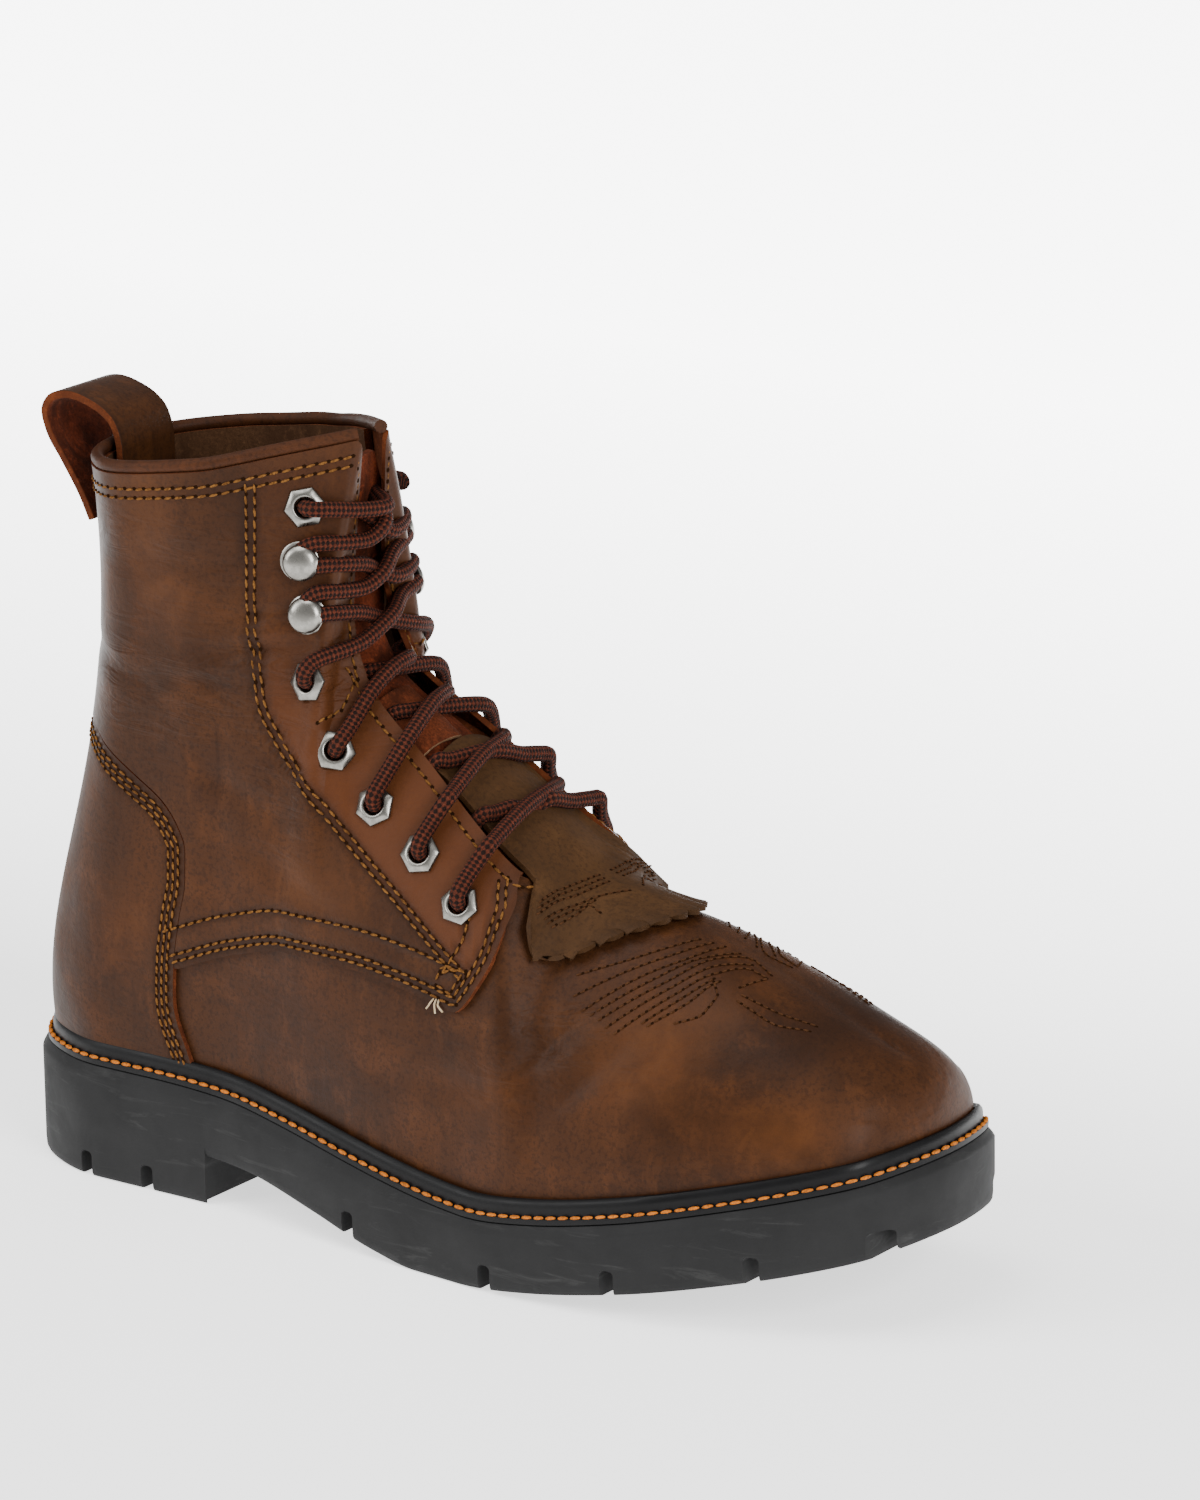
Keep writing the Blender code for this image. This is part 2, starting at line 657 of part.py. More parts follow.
def kiltie_plan(i, j, columns):
    """Plan of the kiltie's grid: column i across, row j from its top to its pinked front edge."""
    across = 2 * i / columns - 1
    wing_x = KILTIE_PLAN[-1][0]
    back_rows = len(KILTIE_PLAN) - 1
    if j <= back_rows:
        x, half = KILTIE_PLAN[j]
    else:
        half = KILTIE_PLAN[-1][1]
        front = KILTIE_FRONT - KILTIE_ROUND * abs(across) ** KILTIE_ROUND_POWER
        x = wing_x + (front - wing_x) * (j - back_rows) / KILTIE_FRONT_ROWS
        if j == back_rows + KILTIE_FRONT_ROWS and i % 2:
            x -= PINK_DEPTH
    return x, ridge_y(x) + across * half


def build_kiltie(boot, surfaces):
    """Fringed flap over the vamp and the foot of the tongue, with a pinked front edge."""
    columns = 2 * KILTIE_TEETH
    rows = len(KILTIE_PLAN) - 1 + KILTIE_FRONT_ROWS

    def place(i, j):
        x, y = kiltie_plan(i, j, columns)
        return Vector((x, y, highest(surfaces, x, y, *KILTIE_REACH) + KILTIE_LIFT))

    bm = sheet(columns, rows, place)
    bmesh.ops.recalc_face_normals(bm, faces=bm.faces)
    if sum(face.normal.z for face in bm.faces) < 0:
        bmesh.ops.reverse_faces(bm, faces=bm.faces)
    surface = BVHTree.FromBMesh(bm)
    kiltie = boot.add("kiltie", bm, boot.grain)
    thicken(kiltie, KILTIE_THICKNESS, 1)
    return surface


def build_pull_loop(boot):
    """Leather strap that stands over the back of the collar as a loop, one leg outside and one inside."""
    path = smooth_path([(x, 0, z) for x, z in PULL_LOOP], PULL_LOOP_STEPS)

    def place(i, j):
        return path[i] + Vector((0, (j - 1) * STRAP_WIDTH / 2, 0))

    bm = sheet(len(path) - 1, 2, place)
    loop = boot.add("pull_loop", bm, boot.leather)
    thicken(loop, STRAP_THICKNESS, 0)


def on_side(surface, x, z, side):
    """Point and outward normal where a line across the boot at x and z meets a surface from one side."""
    hit, normal = surface.ray_cast(Vector((x, side * ASIDE, z)), Vector((0, -side, 0)))[:2]
    return hit, normal if normal.y * side > 0 else -normal


def turned(profile, steps):
    """A closed ring or button: a profile of radius and height spun about Z."""
    bm = bmesh.new()
    verts = [bm.verts.new((radius, 0, height)) for radius, height in profile]
    edges = [bm.edges.new(pair) for pair in zip(verts, verts[1:])]
    if profile[0][0] > 0:
        edges.append(bm.edges.new((verts[-1], verts[0])))
    geometry = verts + edges
    full = {"angle": math.tau, "steps": steps, "axis": (0, 0, 1), "cent": (0, 0, 0), "use_merge": True}
    bmesh.ops.spin(bm, geom=geometry, **full)
    bmesh.ops.remove_doubles(bm, verts=bm.verts, dist=MESH_TOLERANCE / 10)
    bmesh.ops.recalc_face_normals(bm, faces=bm.faces)
    return bm


def eyelet_ring():
    """Hexagonal eyelet with a round hole, standing on Z 0."""
    inner = EYELET_HOLE / 2
    flat = EYELET_ACROSS / 2
    profile = ((inner, 0), (flat, 0), (flat, EYELET_HEIGHT / 2), (inner + EYELET_LIP, EYELET_HEIGHT))
    half_side = math.pi / 6
    bm = turned(profile, 12)
    for vert in bm.verts:
        if vert.co.xy.length > flat - MESH_TOLERANCE:
            corner = round(math.atan2(vert.co.y, vert.co.x) / half_side) % 2
            vert.co.xy *= 1 / math.cos(half_side) if corner else 1
    return bm


def hook_button():
    """Lace hook: a base disc, a neck and a domed cap, standing on Z 0."""
    return turned(HOOK_PROFILE, HOOK_SIDES)


def stand_on(bm, point, normal):
    """Turns a piece that stands on Z 0 so that it stands at point, along normal."""
    turn = normal.to_track_quat("Z", "Y").to_matrix().to_4x4()
    bmesh.ops.transform(bm, matrix=Matrix.Translation(point) @ turn, verts=bm.verts)
    return bm


def fitting_seat(surface, x, z, side):
    """Point and normal of a lace fitting's seat, level with the highest place under its rim."""
    centre, normal = on_side(surface, x, z, side)
    rim = normal.orthogonal().normalized() * (EYELET_ACROSS / 2 + EYELET_LIP)
    turns = [Matrix.Rotation(math.tau * k / 12, 3, normal) for k in range(12)]
    hits = [surface.ray_cast(centre + turn @ rim + normal * EYELET_ACROSS, -normal) for turn in turns]
    hits = [(hit, face) for hit, face, index, distance in hits if hit]
    normal = sum([face if face.dot(normal) > 0 else -face for hit, face in hits], normal).normalized()
    rise = max([(hit - centre).dot(normal) for hit, face in hits] + [0])
    return centre + normal * rise, normal


def lace_places(skin):
    """For each side, the point and normal of each lace row on the outside of the quarters."""
    return {side: [fitting_seat(skin, row.x, row.z, side) for row in LACE_ROWS] for side in (-1, 1)}


def eyelet_holes(boot, places):
    """Cutter for the lace holes through quarter and upper."""
    pins = []
    for side in (-1, 1):
        for row, (point, normal) in zip(LACE_ROWS, places[side]):
            if row.kind == "eyelet":
                pin = bmesh.new()
                radius = EYELET_HOLE / 2 + GAP
                size = {"radius1": radius, "radius2": radius, "depth": HOLE_PIN}
                bmesh.ops.create_cone(pin, cap_ends=True, segments=6, **size)
                pins.append(stand_on(pin, point, normal))
    return boot.add_cutter("lace_holes", join(pins))


def build_lace_fittings(boot, places):
    for name, side in (("lateral", -1), ("medial", 1)):
        for number, (row, (point, normal)) in enumerate(zip(LACE_ROWS, places[side]), 1):
            bm = eyelet_ring() if row.kind == "eyelet" else hook_button()
            seat = point + normal * (QUARTER_GAP + OVERLAY + SEAT_GAP)
            boot.add(f"{row.kind}_{name}_{number}", stand_on(bm, seat, normal), boot.nickel)


def edge_near(point, side):
    """Parameter of the throat edge's point that is nearest to a place on the quarter."""
    first = station_index("collar_front")
    last = station_index("throat_end") - 1
    ends = [STATIONS[k] if side < 0 else STATIONS[opposite(k)] for k in (first, last)]
    choices = [ends[0] + (ends[1] - ends[0]) * k / EDGE_CHOICES for k in range(EDGE_CHOICES + 1)]
    return min(choices, key=lambda t: (upper_point(t, 1) - point).length)


def strand(places, number, side):
    """One strand of a crossing: out of its eyelet, over its own facing's edge, and down to the far facing."""
    start, start_normal = places[side][number]
    goal = places[-side][number + 1][0]
    radius = LACE_DIAMETER / 2
    clear = GAP + OVERLAY + radius + LACE_LIFT
    own = edge_near(start * 0.7 + places[side][number + 1][0] * 0.3, side)
    far = edge_near(goal * 0.75 + places[-side][number][0] * 0.25, -side)
    own_edge = upper_point(own, 1) + upper_normal(own, 1) * clear
    far_edge = upper_point(far, 1) + upper_normal(far, 1) * clear
    reach = (own_edge - start).normalized() * (EYELET_ACROSS / 2 + LACE_START)
    begin = start + reach + start_normal * (clear + LACE_LIFT)
    forward = (upper_normal(own, 1) + upper_normal(far, 1)).normalized()
    middle = (own_edge + far_edge) / 2 + forward
    stop = far_edge + (middle - far_edge).normalized() * (radius + LACE_STOP)
    fold = (start_normal + upper_normal(own, 1)).normalized() * (1 - start_normal.dot(upper_normal(own, 1)))
    over = (begin + own_edge) / 2 + fold * LACE_FOLD_RISE
    return [begin, over, own_edge + forward * LACE_LIFT, middle, stop]


def lifted(points, surfaces):
    """Points moved out of the boot and off the surfaces below them, each given with what lies over it."""
    found = []
    for point in points:
        for surface, thickness in surfaces:
            hit, normal = surface.find_nearest(point)[:2]
            outside = hit - Vector((hit.x - CORE_BACK, 0, hit.z - CORE_DOWN))
            normal = normal if normal.dot(outside) > 0 else -normal
            clear = thickness + LACE_DIAMETER / 2 + LACE_LIFT
            if (point - hit).length < 2 * clear:
                point = point + normal * max(0, clear - (point - hit).dot(normal))
        found.append(point)
    return found


def build_laces(boot, places, surfaces):
    """One joined solid for each crossing of the lace over the throat."""
    for number in range(len(LACE_ROWS) - 1):
        routes = [strand(places, number, side) for side in (-1, 1)]
        middle = (routes[0][-2] + routes[1][-2]) / 2
        tubes = []
        for points in routes:
            points[-2] = middle
            tubes.append(tube(lifted(smooth_path(points, LACE_POINTS), surfaces), LACE_DIAMETER / 2, 1))
        lace = boot.add(f"lace_{number + 1}", tubes[0], boot.cord)
        cut(lace, boot.add_cutter(f"lace_strand_{number + 1}", tubes[1]), "UNION")


def centre_on_footprint(boot):
    """Moves the root so that the origin is under the middle of the boot's box, on the floor."""
    bpy.context.view_layer.update()
    graph = bpy.context.evaluated_depsgraph_get()
    corners = []
    for obj in boot.parts.objects:
        if obj.type == "MESH":
            seen = obj.evaluated_get(graph)
            corners += [seen.matrix_world @ vert.co for vert in seen.data.vertices]
    low = Vector([min(values) for values in zip(*corners)])
    high = Vector([max(values) for values in zip(*corners)])
    boot.root.location = -Vector(((low.x + high.x) / 2, (low.y + high.y) / 2, low.z))


def build():
    boot = Boot()
    skin = BVHTree.FromBMesh(upper_sheet(0))
    places = lace_places(skin)
    holes = eyelet_holes(boot, places)
    build_outsole(boot)
    build_welt(boot)
    build_insole(boot)
    build_upper(boot, holes)
    build_counter(boot)
    build_quarters(boot, holes)
    build_back_strip(boot)
    build_collar_piping(boot)
    tongue = build_tongue(boot)
    kiltie = build_kiltie(boot, [skin, tongue])
    build_pull_loop(boot)
    build_lace_fittings(boot, places)
    build_laces(boot, places, ((tongue, 0), (kiltie, KILTIE_THICKNESS), (skin, QUARTER_GAP + OVERLAY + GAP)))
    centre_on_footprint(boot)


if __name__ == "__main__":
    build()
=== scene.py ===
"""Dresses the kiltie work boot: leather panels, stitching, laces, metal fittings and rubber sole."""

import functools
import math
from collections import namedtuple

import bmesh
import bpy
import numpy as np
from bpy.props import FloatProperty, FloatVectorProperty, PointerProperty
from mathutils import Matrix, Vector
from mathutils.bvhtree import BVHTree


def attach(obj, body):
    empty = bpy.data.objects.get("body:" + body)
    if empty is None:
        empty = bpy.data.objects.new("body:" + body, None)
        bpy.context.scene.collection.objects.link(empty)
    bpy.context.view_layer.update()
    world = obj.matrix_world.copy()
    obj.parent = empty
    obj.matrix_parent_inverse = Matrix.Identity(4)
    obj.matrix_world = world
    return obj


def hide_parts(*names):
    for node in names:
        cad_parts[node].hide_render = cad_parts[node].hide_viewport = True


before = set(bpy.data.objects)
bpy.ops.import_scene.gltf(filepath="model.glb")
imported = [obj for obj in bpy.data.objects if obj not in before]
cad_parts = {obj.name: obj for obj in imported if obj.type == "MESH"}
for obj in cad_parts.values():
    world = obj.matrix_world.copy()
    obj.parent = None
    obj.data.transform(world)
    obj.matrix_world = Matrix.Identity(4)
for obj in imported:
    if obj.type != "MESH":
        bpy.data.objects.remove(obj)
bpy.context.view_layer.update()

bl_info = {
    "name": "Kiltie work boot",
    "version": (1, 0, 0),
    "blender": (4, 5, 0),
    "location": "View3D > Sidebar > Boot",
    "description": "Builds the visible pieces of a laced kiltie work boot on its CAD frame",
    "category": "Object",
}

# Shapes are worked out in millimetres from the back of the heel, and SHIFT takes them to the frame
MM = 0.001
SHIFT = np.array((-155.0, 2.0, 0.0))
LATERAL, MEDIAL = -1, 1
SIDE_NAMES = {LATERAL: "lateral", MEDIAL: "medial"}

SOLE_LENGTH = 310.0
TOE_SPRING = 25.0
SPRING_START = 182.0
SPRING_POWER = 1.4
HEEL_BREAST = 82.0
LUG_GROOVES = (37, 60, 140, 192, 233, 274, 303)
FEATHER_INSET = 6.5
FEATHER_GAP = 0.3
COUNTER_LIFT = 1.7
QUARTER_LIFT = 1.95
STRIP_LIFT = 3.2
TONGUE_DEPTH = 3.7
FAR_ASIDE = 120.0
FAR_ABOVE = 300.0
FAR_BEHIND = -30.0

# Sections from heel to toe: the sole's edge, the top edge, and the reach of the curve's handle at each
Section = namedtuple(
    "Section", "name x lateral medial top_x top_lateral top_medial top_z low_out low_rise top_out top_drop")
SECTIONS = [
    Section("heel_back", 0, 0, 0, 29.5, 0, 0, 210.5, 8.5, 46, -7.5, 93),
    Section("heel_corner", 5, 16, 16, 32, 14, 14, 210.5, 8.5, 46, -8, 91),
    Section("heel_quarter", 16, 29, 29, 39.5, 24.5, 24.5, 211, 8, 46, -9, 88),
    Section("heel_side", 40, 38, 37.5, 54, 33, 32, 212.5, 7, 45, -9, 84),
    Section("breast", 82, 38.5, 35, 80, 33, 32.5, 216.5, 6, 45, -7, 86),
    Section("collar_front", 110, 42.8, 33.2, 119, 6.5, 5, 225, 4, 60, 20, 66),
    Section("ankle", 138, 47, 34.3, 116, 8, 7, 184, 4, 55, 21, 46),
    Section("instep", 160, 49.5, 38, 121.5, 10.5, 10.5, 160, 4, 45, 21, 30),
    Section("waist", 180, 51.5, 42, 150, 15.5, 16.5, 136.5, 4, 37, 19, 21),
    Section("ball", 196, 53, 45, 183, 20.5, 22, 112, 4, 34, 18, 9),
    Section("throat_end", 208, 53, 46.5, 195, -2, 2, 106.5, 4, 34, 26, 0),
    Section("joint", 235, 51, 49, 228, -4, 4, 99, 5, 30, 27, 0),
    Section("toe_side", 265, 43.5, 48, 252, -6, 6, 89.5, 5.5, 27, 24, 0),
    Section("toe_corner", 287, 34.5, 45, 270, -8, 8, 81, 4.5, 22, 19, 0),
    Section("toe_round", 302, 22.5, 39, 281, -9, 9, 75.5, 4, 19, 15, 0),
    Section("toe_tip", 310, -9, 9, 288, -9.5, 9.5, 72, 4, 16, 12, 1),
]
EDGE_HEIGHT = ((0, 33.9), (60, 33.9), (90, 32.8), (190, 19.7), (290, 21.5), (310, 21.5))
WAIST_RISE = ((82, 14.5), (100, 13.5), (125, 8.5), (150, 2.2), (165, 0), (182, 0))
WELT_PROFILE = ((1.8, 0.3), (1.7, 1.2), (1.8, 1.9), (2.4, 2.1), (3.1, 2.0), (3.3, 2.9), (3.25, 4.4),
                (3.5, 5.8), (4.2, 6.8), (5.0, 7.0), (5.6, 6.3), (5.8, 4.6), (5.7, 0.3))
COUNTER_EDGE = ((30, 77), (42, 74), (58, 69.5), (69, 70), (83, 72), (95, 74.3), (104, 74.3), (111, 71.3),
                (117, 66), (123, 56), (129.5, 44), (134, 33), (137, 8))
COUNTER_FLOOR = 34.0
QUARTER_EDGE = ((70, 68), (94, 77), (113, 81.5), (136, 82), (156, 80), (167, 78), (175.5, 76.5),
                (183, 85), (187, 95.5), (187.5, 104.5), (184.5, 113))
QUARTER_END = 215.0
QUARTER_FRONT = ((QUARTER_END, 125), (QUARTER_END, FAR_ABOVE))
KILTIE_PLAN = ((148, 14.6), (160, 16.4), (172, 18.2), (182, 19.6), (187.5, 21.5), (193, 33))
KILTIE_FRONT = 227.0
KILTIE_ROUND = 31.0
KILTIE_ROUND_POWER = 1.7
KILTIE_LOBES = 13
PULL_LOOP = ((25.9, 190), (22.5, 197), (16, 207), (11, 214.5), (9.5, 220), (12.5, 224.5), (19, 226),
             (28, 224), (35, 219), (37, 212), (37.2, 203), (36.6, 194))
LACE_ROWS = (("eyelet", 172, 104.8), ("eyelet", 156, 116), ("eyelet", 138.5, 126.5), ("eyelet", 123, 139.5),
             ("eyelet", 114.5, 158.5), ("hook", 112, 177), ("hook", 109, 191.8), ("eyelet", 109.5, 207))
FACING_LINE = ((96, 214), (96, 203), (96, 180), (98, 163), (100, 151), (107, 139.5), (121, 126), (135, 115),
               (151, 104), (167, 93), (178, 86.5))
CREASE_FADE = 1.25

# Creases of the leather in the side view: both ends, half width, and height, which is negative in a trough
CREASES = (
    ((82, 163), (116, 168), 2.0, -1.5),
    ((84, 168), (112, 173), 2.6, 0.9),
    ((90, 174), (114, 179), 1.8, -0.9),
    ((70, 157), (104, 161), 2.2, 0.6),
    ((58, 152), (98, 156), 2.2, -1.0),
    ((34, 158), (62, 150), 3.4, -1.0),
    ((106, 152), (122, 156), 1.8, -0.8),
    ((104, 143), (124, 146), 1.9, -0.8),
    ((110, 134), (128, 136), 1.8, -0.7),
    ((80, 128), (108, 118), 4.0, -1.0),
    ((96, 108), (128, 96), 4.0, -0.9),
    ((50, 186), (86, 192), 5.0, -0.7),
    ((194, 60), (213, 79), 2.6, -1.0),
    ((200, 58), (219, 76), 2.8, 0.5),
    ((210, 55), (228, 74), 2.8, -0.9),
    ((150, 52), (196, 58), 4.5, -0.8),
)


class Curve:
    """A smooth curve through a table of places and values, with no overshoot between them."""

    def __init__(self, knots, values):
        self.knots = np.array(knots, float)
        self.values = np.array(values, float)
        self.steps = np.diff(self.knots)
        rises = np.diff(self.values) / self.steps
        self.slopes = np.zeros(len(self.knots))
        self.slopes[0] = rises[0]
        self.slopes[-1] = rises[-1]
        for i in range(1, len(rises)):
            before, after = rises[i - 1], rises[i]
            if before * after > 0:
                near = 2 * self.steps[i] + self.steps[i - 1]
                far = self.steps[i] + 2 * self.steps[i - 1]
                self.slopes[i] = (near + far) / (near / before + far / after)

    def __call__(self, place):
        place = np.clip(place, self.knots[0], self.knots[-1])
        i = np.clip(np.searchsorted(self.knots, place) - 1, 0, len(self.steps) - 1)
        step = self.steps[i]
        s = (place - self.knots[i]) / step
        bend = step * (s * (1 - s) ** 2 * self.slopes[i] - s * s * (1 - s) * self.slopes[i + 1])
        start = self.values[i] * (1 + 2 * s) * (1 - s) ** 2
        return start + self.values[i + 1] * s * s * (3 - 2 * s) + bend


def line_knots(points):
    """Distance along a line of points to each of them."""
    return np.concatenate([[0], np.cumsum(np.linalg.norm(np.diff(points, axis=0), axis=1))])


def smooth_path(points, count):
    """Points at even steps along a smooth curve through the given ones."""
    points = np.array(points, float)
    knots = line_knots(points)
    places = np.linspace(0, knots[-1], count)
    return np.stack([Curve(knots, axis)(places) for axis in points.T], 1)


edge_height = Curve(*zip(*EDGE_HEIGHT))
waist_rise = Curve(*zip(*WAIST_RISE))
counter_edge = Curve(*zip(*COUNTER_EDGE))


def spring(x):
    """Height of the toe spring at x."""
    return TOE_SPRING * np.maximum(0, (x - SPRING_START) / (SOLE_LENGTH - SPRING_START)) ** SPRING_POWER


def sole_top(x):
    return spring(x) + edge_height(x)


# The loop of places round the boot: out along the lateral side, round the toe and back
FINE_PLACES = 1600
CHORDS = [
    (math.hypot(b.x - a.x, b.lateral - a.lateral) + math.hypot(b.x - a.x, b.medial - a.medial)) / 2
    for a, b in zip(SECTIONS, SECTIONS[1:])
]
HALF_KNOTS = np.concatenate([[0], np.cumsum(CHORDS)])
ROUND = 2 * HALF_KNOTS[-1]
KNOTS = np.concatenate([HALF_KNOTS, ROUND - HALF_KNOTS[-2::-1]])
AT = {row.name: knot for row, knot in zip(SECTIONS, HALF_KNOTS)}


def blurred(values, width):
    """Values round the loop, evened out over a width in millimetres."""
    turns = np.fft.rfftfreq(len(values), ROUND / len(values))
    return np.fft.irfft(np.fft.rfft(values) * np.exp(-2 * (math.pi * turns * width) ** 2), len(values))


COLLAR_FADE = 16.0


def column(pick, width, only_back=False):
    """A curve round the loop of one column, evened out over a width. pick takes a row and its side.

    With only_back it is evened out behind the front of the collar alone.
    """
    values = [pick(row, LATERAL) for row in SECTIONS] + [pick(row, MEDIAL) for row in SECTIONS[-2::-1]]
    knots = np.concatenate([[KNOTS[-2] - ROUND], KNOTS, [ROUND + KNOTS[1]]])
    places = np.arange(FINE_PLACES) * ROUND / FINE_PLACES
    fine = Curve(knots, [values[-2]] + values + [values[1]])(places)
    back = np.minimum(places, ROUND - places)
    share = np.clip((AT["collar_front"] - back) / COLLAR_FADE - 0.5, 0, 1) if only_back else 1.0
    if width:
        fine = fine + share * (blurred(fine, width) - fine)
    return lambda t: np.interp(t, places, fine, period=ROUND)


OUTLINE_BLUR = 2.5
HANDLE_BLUR = 7.0
COLLAR_BLUR = 7.0
outline_x = column(lambda row, side: row.x, OUTLINE_BLUR)
outline_y = column(lambda row, side: -row.lateral if side < 0 else row.medial, OUTLINE_BLUR)
top_x = column(lambda row, side: row.top_x, COLLAR_BLUR, True)
top_y = column(lambda row, side: -row.top_lateral if side < 0 else row.top_medial, COLLAR_BLUR, True)
top_z = column(lambda row, side: row.top_z, 0)
low_out = column(lambda row, side: row.low_out, HANDLE_BLUR)
low_rise = column(lambda row, side: row.low_rise, HANDLE_BLUR)
TOP_HANDLE_BLUR = 3.0
top_out = column(lambda row, side: row.top_out, TOP_HANDLE_BLUR)
top_drop = column(lambda row, side: row.top_drop, TOP_HANDLE_BLUR)
RIDGE = SECTIONS[[row.name for row in SECTIONS].index("throat_end"):]
ridge_y = Curve([KILTIE_PLAN[0][0]] + [row.top_x for row in RIDGE], [0] + [row.top_medial for row in RIDGE])


def unit(vectors):
    return vectors / np.maximum(np.linalg.norm(vectors, axis=-1, keepdims=True), 1e-9)


def outward(t):
    """Unit vectors in plan that point away from the sole at the places t."""
    step = 0.8
    dx = outline_x(t + step) - outline_x(t - step)
    dy = outline_y(t + step) - outline_y(t - step)
    return unit(np.stack([dy, -dx, np.zeros_like(dx)], -1))


def edge_points(t, inset, height):
    """Points of the sole's outline moved in by inset, at the height that height(x) gives."""
    flat = np.stack([outline_x(t), outline_y(t), np.zeros_like(t)], -1)
    points = flat - outward(t) * np.asarray(inset)[..., None]
    points[..., 2] = height(points[..., 0])
    return points


def top_points(t):
    """Points of the upper's top edge. Along the vamp's ridge both sides share it."""
    t = np.mod(t, ROUND)
    points = np.stack([top_x(t), top_y(t), top_z(t)], -1)
    across = np.stack([top_x(ROUND - t), top_y(ROUND - t), top_z(ROUND - t)], -1)
    on_ridge = (t > AT["throat_end"]) & (t < ROUND - AT["throat_end"])
    return np.where(on_ridge[..., None], (points + across) / 2, points)


def upper_points(t, v):
    """The upper's outer surface: t runs round the sole's edge, v from the feather line to the top edge."""
    out = outward(t)
    up = np.array((0.0, 0.0, 1.0))
    low = edge_points(t, FEATHER_INSET, lambda x: sole_top(x) + FEATHER_GAP)
    top = top_points(t)
    low_handle = low + out * low_out(t)[..., None] + up * low_rise(t)[..., None]
    top_handle = top + out * top_out(t)[..., None] - up * top_drop(t)[..., None]
    v = np.asarray(v)[..., None]
    w = 1 - v
    return low * w**3 + low_handle * 3 * w * w * v + top_handle * 3 * w * v * v + top * v**3


def down_from_top(t, distance):
    """The v of a place that lies a distance below the top edge."""
    reach = np.hypot(top_out(t), top_drop(t))
    return 1 - distance / (3 * reach)


def places_between(start, end, step):
    """Places round the loop from start to end, about a step apart, with every section's own among them."""
    inside = [k + turn * ROUND for turn in (-1, 0, 1) for k in KNOTS[:-1]]
    stops = sorted({start, end} | {k for k in inside if start + 1e-6 < k < end - 1e-6})
    found = [np.array([start])]
    for a, b in zip(stops, stops[1:]):
        found.append(np.linspace(a, b, max(1, math.ceil((b - a) / step)) + 1)[1:])
    return np.concatenate(found)


def distance_to_line(points, line):
    """Distance of flat points to a line of flat points."""
    line = np.array(line, float)
    best = np.full(len(points), np.inf)
    for a, b in zip(line, line[1:]):
        along = b - a
        share = np.clip((points - a) @ along / max(along @ along, 1e-9), 0, 1)
        best = np.minimum(best, np.linalg.norm(points - a - share[:, None] * along, axis=1))
    return best


def beside(line, distance):
    """A flat line moved sideways by a distance, to the left of its direction where that is positive."""
    line = smooth_path(np.array(line, float), 90)
    along = unit(np.gradient(line, axis=0))
    return line + np.stack([-along[:, 1], along[:, 0]], 1) * distance


def inside_outline(points, outline):
    """Signed distance of flat points to a closed outline, positive inside it."""
    outline = [tuple(map(float, point)) for point in outline]
    closed = outline + outline[:1]
    inside = np.zeros(len(points), bool)
    for (ax, az), (bx, bz) in zip(closed, closed[1:]):
        if az != bz:
            crosses = (points[:, 1] < az) != (points[:, 1] < bz)
            inside ^= crosses & (points[:, 0] < ax + (points[:, 1] - az) * (bx - ax) / (bz - az))
    distance = distance_to_line(points, closed)
    return np.where(inside, distance, -distance)


def side_view(points):
    return points[:, (0, 2)]


def creases(points):
    """How far the creases push the leather out, or pull it in, at each point."""
    push = np.zeros(len(points))
    flat = side_view(points)
    for start, end, width, height in CREASES:
        middle = (np.array(start) + end) / 2
        reach = np.linalg.norm(np.array(end) - start) / 2
        fade = np.clip(CREASE_FADE - np.linalg.norm(flat - middle, axis=1) / (reach + width), 0, 1)
        push += height * fade * np.exp(-(distance_to_line(flat, (start, end)) / width) ** 2)
    return push


def coords(bm):
    return np.array([vert.co for vert in bm.verts])


def place(bm, points):
    for vert, point in zip(bm.verts, points):
        vert.co = point


def normals(bm):
    bm.normal_update()
    return np.array([vert.normal for vert in bm.verts])


def new_grid(columns, rows):
    """A flat grid, with the shares of the way along and across it for each vertex."""
    bm = bmesh.new()
    bmesh.ops.create_grid(bm, x_segments=columns, y_segments=rows, size=0.5)
    flat = coords(bm)
    return bm, flat[:, 0] + 0.5, flat[:, 1] + 0.5


def sheet(points):
    """A sheet through rows of points."""
    rows, columns = points.shape[0] - 1, points.shape[1] - 1
    bm, along, up = new_grid(columns, rows)
    place(bm, points[np.rint(up * rows).astype(int), np.rint(along * columns).astype(int)])
    return bm


FACING_TURN = (106.0, 140.0)
FACING_EASE = 45.0
TOE_POLE = np.array((288.0, 0.0, 72.0))
TOE_EASE = ((34, 12), (22, 16), (12, 16))
ALL_AXES = {"use_axis_x": True, "use_axis_y": True, "use_axis_z": True}


def even_out(bm, verts, turns):
    for turn in range(turns):
        bmesh.ops.smooth_vert(bm, verts=verts, factor=0.5, **ALL_AXES)


def ease_toe(bm):
    """Evens out the leather round the front end of the vamp's ridge, most at its very end."""
    points = coords(bm)
    for reach, turns in TOE_EASE:
        near = [vert for vert, point in zip(bm.verts, points) if np.linalg.norm(point - TOE_POLE) < reach]
        if near:
            even_out(bm, near, turns)


def ease_facings(bm):
    """Rounds each facing's tight turn towards the throat, as much on a fine sheet as on a coarse one."""
    x, z = FACING_TURN
    near = [vert for vert in bm.verts if vert.co.x > x and vert.co.z > z and not vert.is_boundary]
    if near:
        step = np.mean([edge.calc_length() for vert in near for edge in vert.link_edges])
        even_out(bm, near, int(FACING_EASE / step**2))


FINE_MERGE = 0.01


